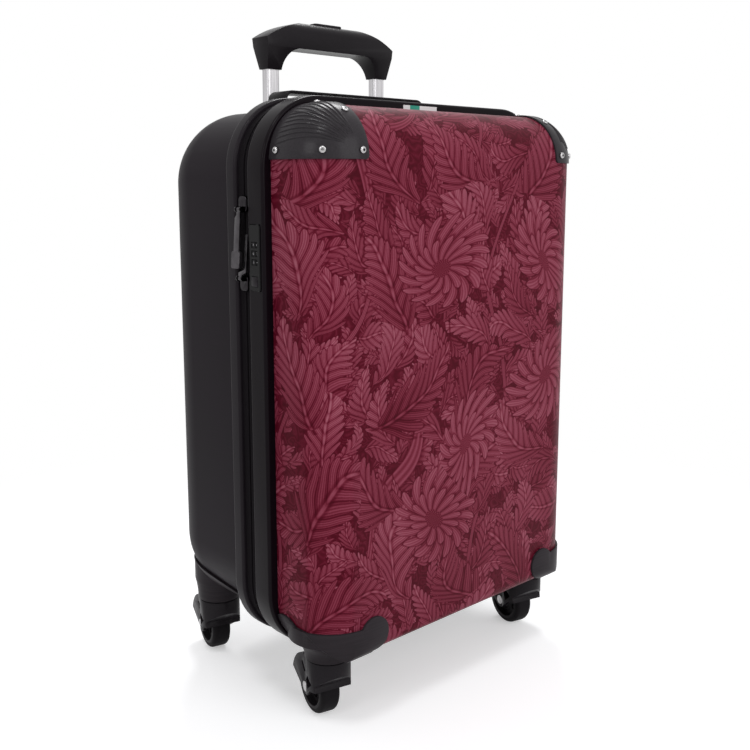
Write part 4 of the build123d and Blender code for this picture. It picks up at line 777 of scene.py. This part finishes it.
def on_shell(u, v, lift):
    """The point of the front shell at a place of the unrolled sheet, raised by some height."""
    flat_x = max(-HALF_WIDTH + EDGE_ROUND, min(HALF_WIDTH - EDGE_ROUND, u))
    flat_z = max(-HALF_HEIGHT + FOOT_ROUND, min(HALF_HEIGHT - EDGE_ROUND, v))
    out_x, out_z = u - flat_x, v - flat_z
    run = math.hypot(out_x, out_z)
    turn = min(run, ROUND_RUN) / EDGE_ROUND
    reach = (EDGE_ROUND + lift) * math.sin(turn)
    y = FRONT_Y + EDGE_ROUND - (EDGE_ROUND + lift) * math.cos(turn) + max(run - ROUND_RUN, 0.0)
    if run < NO_DISTANCE:
        return Vector((flat_x, FRONT_Y - lift, flat_z + SHELL_MIDDLE))
    return Vector((flat_x + out_x / run * reach, y, flat_z + SHELL_MIDDLE + out_z / run * reach))


cap_plastic = moulded_plastic("protector_plastic", (46, 43, 46), 0.36, 700.0, 0.00005, polish=0.1)
fan_u = HALF_WIDTH - CAP_REACH + FAN_IN
fan_v = HALF_HEIGHT - CAP_HEIGHT + FAN_UP
for side_name, side in (("left", -1), ("right", 1)):
    node = f"corner_protector_{side_name}"
    settle(solid_copy(node, f"corner_cap_{side_name}", bevel=CAP_BEVEL), cap_plastic, node)
    bpy.ops.object.select_all(action="DESELECT")
    ribs = []
    for number in range(RIB_COUNT):
        angle = math.radians(FAN_FIRST + number * FAN_SPREAD / (RIB_COUNT - 1))
        start = RIB_START + RIB_STAGGER * (number % 2)
        bpy.ops.mesh.primitive_grid_add(x_subdivisions=RIB_STEPS, y_subdivisions=RIB_ACROSS, size=1.0)
        rib = bpy.context.object
        ribs.append(rib)
        length = start
        while length <= RIB_LONGEST:
            past_u = fan_u + math.cos(angle) * (length + RIB_TRIAL) - HALF_WIDTH + EDGE_ROUND
            past_v = fan_v + math.sin(angle) * (length + RIB_TRIAL) - HALF_HEIGHT + EDGE_ROUND
            if math.hypot(max(past_u, 0.0), max(past_v, 0.0)) > ROUND_RUN + RIB_PAST_ROUND:
                break
            length += RIB_TRIAL
        for vertex in rib.data.vertices:
            along = vertex.co.x + 0.5
            across = vertex.co.y * 2
            reach = start + along * (length - start)
            bend = RIB_BEND * math.sin(along * math.pi) * (1 if number < RIB_COUNT / 2 else -1)
            narrowed = 0.35 + 0.65 * min(along * 5, 1.0, (1.02 - along) * 12)
            shift = bend + across * RIB_HALF_WIDTH * narrowed
            u = fan_u + math.cos(angle) * reach - math.sin(angle) * shift
            v = fan_v + math.sin(angle) * reach + math.cos(angle) * shift
            crown = RIB_HEIGHT * (1 - across * across) * min(1.0, along * 8, (1 - along) * 10 + 0.1)
            vertex.co = on_shell(side * u, v, CAP_LIFT - RIB_SUNK + crown)
    fan = join_pieces(ribs, f"cap_ribs_{side_name}")
    skin = fan.modifiers.new("skin", "SOLIDIFY")
    skin.thickness = RIB_SKIN
    skin.offset = side
    bpy.ops.object.modifier_apply(modifier="skin")
    face_outward(fan)
    bpy.ops.object.shade_smooth_by_angle(angle=math.radians(40))
    settle(fan, cap_plastic, body="lid")

# Rivets: bright steel with domed heads that hold the protectors to the lid. Each has a
# small socket at its middle; its shade is painted as a thin black disc on the head.
RIVET_FACE = CAP_LIFT + 0.0014
RIVET_INSET = 0.007
RIVET_TOP_ANGLE = 57.0
RIVET_REAR_Y = -0.0681
SHADE_DISC_RADIUS = 0.00115
SHADE_DISC_THICKNESS = 0.0002

bright_steel = cast_metal("bright_steel", (176, 174, 175), 0.24)
settle(solid_copy("protector_rivets", "cap_rivets", crease=50.0), bright_steel, "protector_rivets")
# Painted shade: a black disc on each rivet head stands for the shade inside its socket.
rivet_socket_shade = moulded_plastic("rivet_socket_shade", (8, 8, 8), 0.5, 900.0, 0.00001)
rivet_low = SHELL_TOP - CAP_HEIGHT + RIVET_INSET
rivet_in = HALF_WIDTH - CAP_REACH + RIVET_INSET
round_x = HALF_WIDTH - EDGE_ROUND
round_y = FRONT_Y + EDGE_ROUND
tipped = Vector((0, -math.cos(math.radians(RIVET_TOP_ANGLE)), math.sin(math.radians(RIVET_TOP_ANGLE))))
diagonal = Vector((math.sqrt(0.5), -math.sqrt(0.5), 0))
rivet_places = (
    (Vector((rivet_in, FRONT_Y, rivet_low)), Vector((0, -1, 0))),
    (Vector((HALF_WIDTH, RIVET_REAR_Y, rivet_low)), Vector((1, 0, 0))),
    (Vector((round_x, round_y, rivet_low)) + diagonal * EDGE_ROUND, diagonal),
    (Vector((rivet_in, round_y, SHELL_TOP - EDGE_ROUND)) + tipped * EDGE_ROUND, tipped),
    (Vector((rivet_in, RIVET_REAR_Y, SHELL_TOP)), Vector((0, 0, 1))),
)
for side_name, side in (("left", -1), ("right", 1)):
    bpy.ops.object.select_all(action="DESELECT")
    shade_discs = []
    for place, out in rivet_places:
        out = Vector((side * out.x, out.y, out.z))
        middle = Vector((side * place.x, place.y, place.z)) + out * RIVET_FACE
        bpy.ops.mesh.primitive_cylinder_add(
            vertices=20, radius=SHADE_DISC_RADIUS, depth=SHADE_DISC_THICKNESS,
            location=middle, rotation=out.to_track_quat("Z", "Y").to_euler(),
        )
        shade_discs.append(bpy.context.object)
        bpy.ops.object.mode_set(mode="EDIT")
        bpy.ops.mesh.select_all(action="SELECT")
        bpy.ops.mesh.bevel(offset=SHADE_DISC_THICKNESS / 4, segments=1, affect="EDGES")
        bpy.ops.object.mode_set(mode="OBJECT")
        bpy.ops.object.transform_apply(location=True, rotation=True, scale=True)
    settle(join_pieces(shade_discs, f"rivet_shade_discs_{side_name}"), rivet_socket_shade, body="lid")

# Casters: a moulded housing screwed under each corner, and a swivelling fork with a
# twin-skinned wheel of hard core and soft tread on a steel axle.
housing_plastic = moulded_plastic("housing_plastic", (42, 38, 41), 0.4, 900.0, 0.00006, brushed=25.0)
fork_plastic = moulded_plastic("fork_plastic", (31, 28, 31), 0.33, polish=0.05)
core_plastic = moulded_plastic("wheel_core_plastic", (30, 28, 30), 0.4)
tread_rubber = moulded_plastic("tread_rubber", (22, 20, 22), 0.6, 1300.0, 0.00005)
for corner in ("front_left", "front_right", "back_left", "back_right"):
    for solid, name, rounding, finish, slot in (
        ("caster_housing", f"housing_{corner}", 0.0005, housing_plastic, "caster"),
        ("caster_fork", f"fork_{corner}_moulding", 0.0006, fork_plastic, "caster"),
        ("caster_axle", f"axle_{corner}", 0.0003, bright_steel, "steel"),
        ("wheel_hub", f"wheel_core_{corner}", 0.0003, core_plastic, "wheel_core"),
        ("wheel_tread", f"wheel_tyre_{corner}", 0.0, tread_rubber, "tread"),
    ):
        node = f"{solid}_{corner}"
        settle(solid_copy(node, name, bevel=rounding), finish, node)

# Telescopic handle: drawn aluminium tubes, brushed along their length, that slide in the
# case, with a moulded grip and its release button.
GRIP_BEVEL = 0.0012
CUP_BEVEL = 0.0004


def brushed_aluminium():
    """Aluminium tube with fine lines drawn along it."""
    material, tree, shader = new_material("drawn_aluminium", Metallic=1.0, Anisotropic=0.5)
    where = add_node(tree, "ShaderNodeTexCoord").outputs["Object"]
    drawn = add_node(tree, "ShaderNodeMapping", {"Vector": where, "Scale": (1, 1, 0.01)})
    lines = noise(tree, drawn.outputs[0], 2600.0, 4.0)
    colour = inked(tree, lines, ((0.3, (160, 158, 161)), (0.7, (214, 212, 214))))
    tree.links.new(colour, shader.inputs["Base Color"])
    tree.links.new(calc(tree, "MULTIPLY_ADD", lines, 0.18, 0.24), shader.inputs["Roughness"])
    relief(tree, shader, lines, 0.25, 0.00002)
    return material


aluminium = brushed_aluminium()
grip_plastic = moulded_plastic("grip_plastic", (30, 27, 30), 0.34, 1200.0, polish=0.06)
for side_name in ("left", "right"):
    for stage in ("inner", "mid", "guide"):
        node = f"{stage}_tube_{side_name}"
        settle(solid_copy(node, f"{node}_drawn"), aluminium, node)
for node, name, rounding, finish in (
    ("handle_grip", "grip", GRIP_BEVEL, grip_plastic),
    ("grip_button", "release_button_cap", 0.0, grip_plastic),
    ("handle_bezel", "handle_cup", CUP_BEVEL, frame_plastic),
):
    settle(solid_copy(node, name, bevel=rounding), finish, node)

# Carry handle: a flexible moulded strap on the case's top. Its ends slide in two caps, so
# it can be lifted.
STRAP_BEVEL = 0.0006

strap_plastic = moulded_plastic("strap_plastic", (19, 17, 19), 0.4, 800.0, 0.00005, polish=0.06)
settle(solid_copy("carry_strap", "carry_handle", bevel=STRAP_BEVEL), strap_plastic, "carry_strap")
settle(solid_copy("strap_caps", "carry_handle_caps"), frame_plastic, "strap_caps")

# Linings: thin polyester cloth glued over trays in both halves. Each is cut from a
# rectangle with its corners taken out.
LINING_THREADS = 6200.0
BASE_LINING_FLAT = (0.48, 0.604)
BASE_LINING_AREA = 0.25
LID_LINING_FLAT = (0.45, 0.57)
LID_LINING_AREA = 0.24


def lining_cloth():
    """Plain woven polyester with a soft sheen."""
    material, tree, shader = new_material(
        "lining_cloth", Roughness=0.75, Specular_IOR_Level=0.2, Sheen_Weight=0.15, Sheen_Roughness=0.4
    )
    where = add_node(tree, "ShaderNodeTexCoord").outputs["Object"]
    x, y, z = parts_of(tree, where)
    across = calc(tree, "ADD", x, y)
    threads = use_group(tree, crossed_threads, Across=z, Along=across, Threads=LINING_THREADS)
    # Painted shade and light: the fold noise bumps the cloth and also darkens and lightens its colour.
    folds_and_fold_shade = noise(tree, where, 9.0, 3.0)
    tone = calc(tree, "MULTIPLY_ADD", threads["Weave"], 0.2, folds_and_fold_shade)
    colour = inked(tree, tone, ((0.2, (34, 33, 36)), (0.8, (62, 60, 64))))
    tree.links.new(colour, shader.inputs["Base Color"])
    relief(tree, shader, calc(tree, "MULTIPLY_ADD", threads["Weave"], 0.04, folds_and_fold_shade), 0.5, 0.004)
    return material


lining = lining_cloth()
for node, flat, area, shell in (
    ("base_lining", BASE_LINING_FLAT, BASE_LINING_AREA, "plain_back_shell"),
    ("lid_lining", LID_LINING_FLAT, LID_LINING_AREA, "printed_front_shell"),
):
    cloth = settle(solid_copy(node, f"{node}_cloth", crease=40.0), lining, node)

# Small woven label folded over the frame's top edge and sewn down: two pale ends and a
# green middle.
GREEN_FROM = -0.013
GREEN_TO = -0.001
BAND_EDGE = 0.0003
LABEL_THREADS = 9000.0

label_cloth, tree, shader = new_material("label_cloth", Roughness=0.8, Sheen_Weight=0.2)
across, _, _ = parts_of(tree, add_node(tree, "ShaderNodeTexCoord").outputs["Object"])
past_start = step_between(tree, across, GREEN_FROM - BAND_EDGE, GREEN_FROM + BAND_EDGE)
before_end = step_between(tree, across, GREEN_TO - BAND_EDGE, GREEN_TO + BAND_EDGE, 1.0, 0.0)
band = calc(tree, "MULTIPLY", past_start, before_end)
dyes = {0: band, 6: srgb(226, 228, 228), 7: srgb(32, 148, 126)}
dyed = add_node(tree, "ShaderNodeMix", dyes, data_type="RGBA")
tree.links.new(dyed.outputs[2], shader.inputs["Base Color"])
relief(tree, shader, calc(tree, "SINE", calc(tree, "MULTIPLY", across, LABEL_THREADS)), 0.4, 0.0001)
settle(solid_copy("top_label", "woven_label"), label_cloth, "top_label")

# Hidden fittings keep their CAD solids: the screws, the lock's axle, the release rods and
# the bracket that holds the guide tubes.
for node, finish in (
    ("lid_housing_screws", bright_steel),
    ("base_housing_screws", bright_steel),
    ("lock_dial_axle", bright_steel),
    ("release_yoke", bright_steel),
    ("handle_foot", frame_plastic),
):
    nodes[node].data.materials.clear()
    nodes[node].data.materials.append(finish)

# Room: a pale floor that keeps the case's shadow and fades to white. The world is plain
# white to the eye and in reflections, and four soft square lamps light the case.
FLOOR_SIZE = 8.0
FLOOR_LIFT = 0.4
FADE_FROM = 0.3
FADE_TO = 0.8
WORLD_LIGHT = 0.5
WHITE = (1, 1, 1, 1)
LAMP_AIM = Vector((0, 0, 0.3))

bpy.ops.object.select_all(action="DESELECT")
bpy.ops.mesh.primitive_plane_add(size=FLOOR_SIZE, location=(0, 0, 0))
floor = bpy.context.object
floor.name = "floor"
floor_paint, tree, shader = new_material(
    "floor_paint", Roughness=0.9, Specular_IOR_Level=0.1, Base_Color=srgb(232, 232, 234)
)
where = add_node(tree, "ShaderNodeTexCoord").outputs["Object"]
far = add_node(tree, "ShaderNodeVectorMath", {0: where}, operation="LENGTH").outputs["Value"]
fade = step_between(tree, far, FADE_FROM, FADE_TO)
paths = add_node(tree, "ShaderNodeLightPath").outputs
seen = calc(tree, "MAXIMUM", paths["Is Camera Ray"], paths["Is Glossy Ray"])
glow = {"Color": WHITE, "Strength": calc(tree, "MULTIPLY", seen, FLOOR_LIFT)}
lift = add_node(tree, "ShaderNodeEmission", glow)
lifted = add_node(tree, "ShaderNodeAddShader", {0: shader.outputs[0], 1: lift.outputs[0]})
white = add_node(tree, "ShaderNodeEmission", {"Color": WHITE, "Strength": 1.0})
whitened = {0: calc(tree, "MULTIPLY", fade, seen), 1: lifted.outputs[0], 2: white.outputs[0]}
faded = add_node(tree, "ShaderNodeMixShader", whitened)
tree.links.new(faded.outputs[0], tree.nodes["Material Output"].inputs["Surface"])
floor.data.materials.append(floor_paint)

world = bpy.data.worlds.new("studio")
world.use_nodes = True
bpy.context.scene.world = world
tree = world.node_tree
backdrop = tree.nodes["Background"]
paths = add_node(tree, "ShaderNodeLightPath").outputs
seen = calc(tree, "MAXIMUM", paths["Is Camera Ray"], paths["Is Transmission Ray"])
seen = calc(tree, "MAXIMUM", seen, paths["Is Glossy Ray"])
backdrop.inputs["Color"].default_value = WHITE
tree.links.new(step_between(tree, seen, 0.0, 1.0, WORLD_LIGHT, 1.0), backdrop.inputs["Strength"])

for name, place, size, power in (
    ("key_lamp", (0.9, 1.0, 2.2), 0.7, 26.0),
    ("fill_lamp", (0.1, -2.4, 1.3), 1.8, 24.0),
    ("side_lamp", (-2.2, -0.5, 1.3), 0.8, 8.0),
    ("top_lamp", (-0.9, -0.5, 2.1), 0.4, 9.0),
):
    lamp = bpy.data.lights.new(name, "AREA")
    lamp.shape = "SQUARE"
    lamp.size = size
    lamp.energy = power
    holder = bpy.data.objects.new(name, lamp)
    bpy.context.scene.collection.objects.link(holder)
    holder.location = place
    holder.rotation_euler = (LAMP_AIM - Vector(place)).to_track_quat("-Z", "Y").to_euler()

# Camera: at the photograph's place and angle. Its small shift is what the framing needs,
# and depth of field stays off.
CAMERA_PLACE = (-0.63307, -0.68602, 0.46326)
CAMERA_ANGLES = (80.81424, 0.0, -42.70218)

lens = bpy.data.cameras.new("camera")
lens.lens = 46.58
lens.sensor_width = 36.0
lens.shift_y = -0.05
camera = bpy.data.objects.new("camera", lens)
bpy.context.scene.collection.objects.link(camera)
camera.location = CAMERA_PLACE
camera.rotation_euler = [math.radians(angle) for angle in CAMERA_ANGLES]
bpy.context.scene.camera = camera
bpy.context.scene.view_settings.view_transform = "Standard"
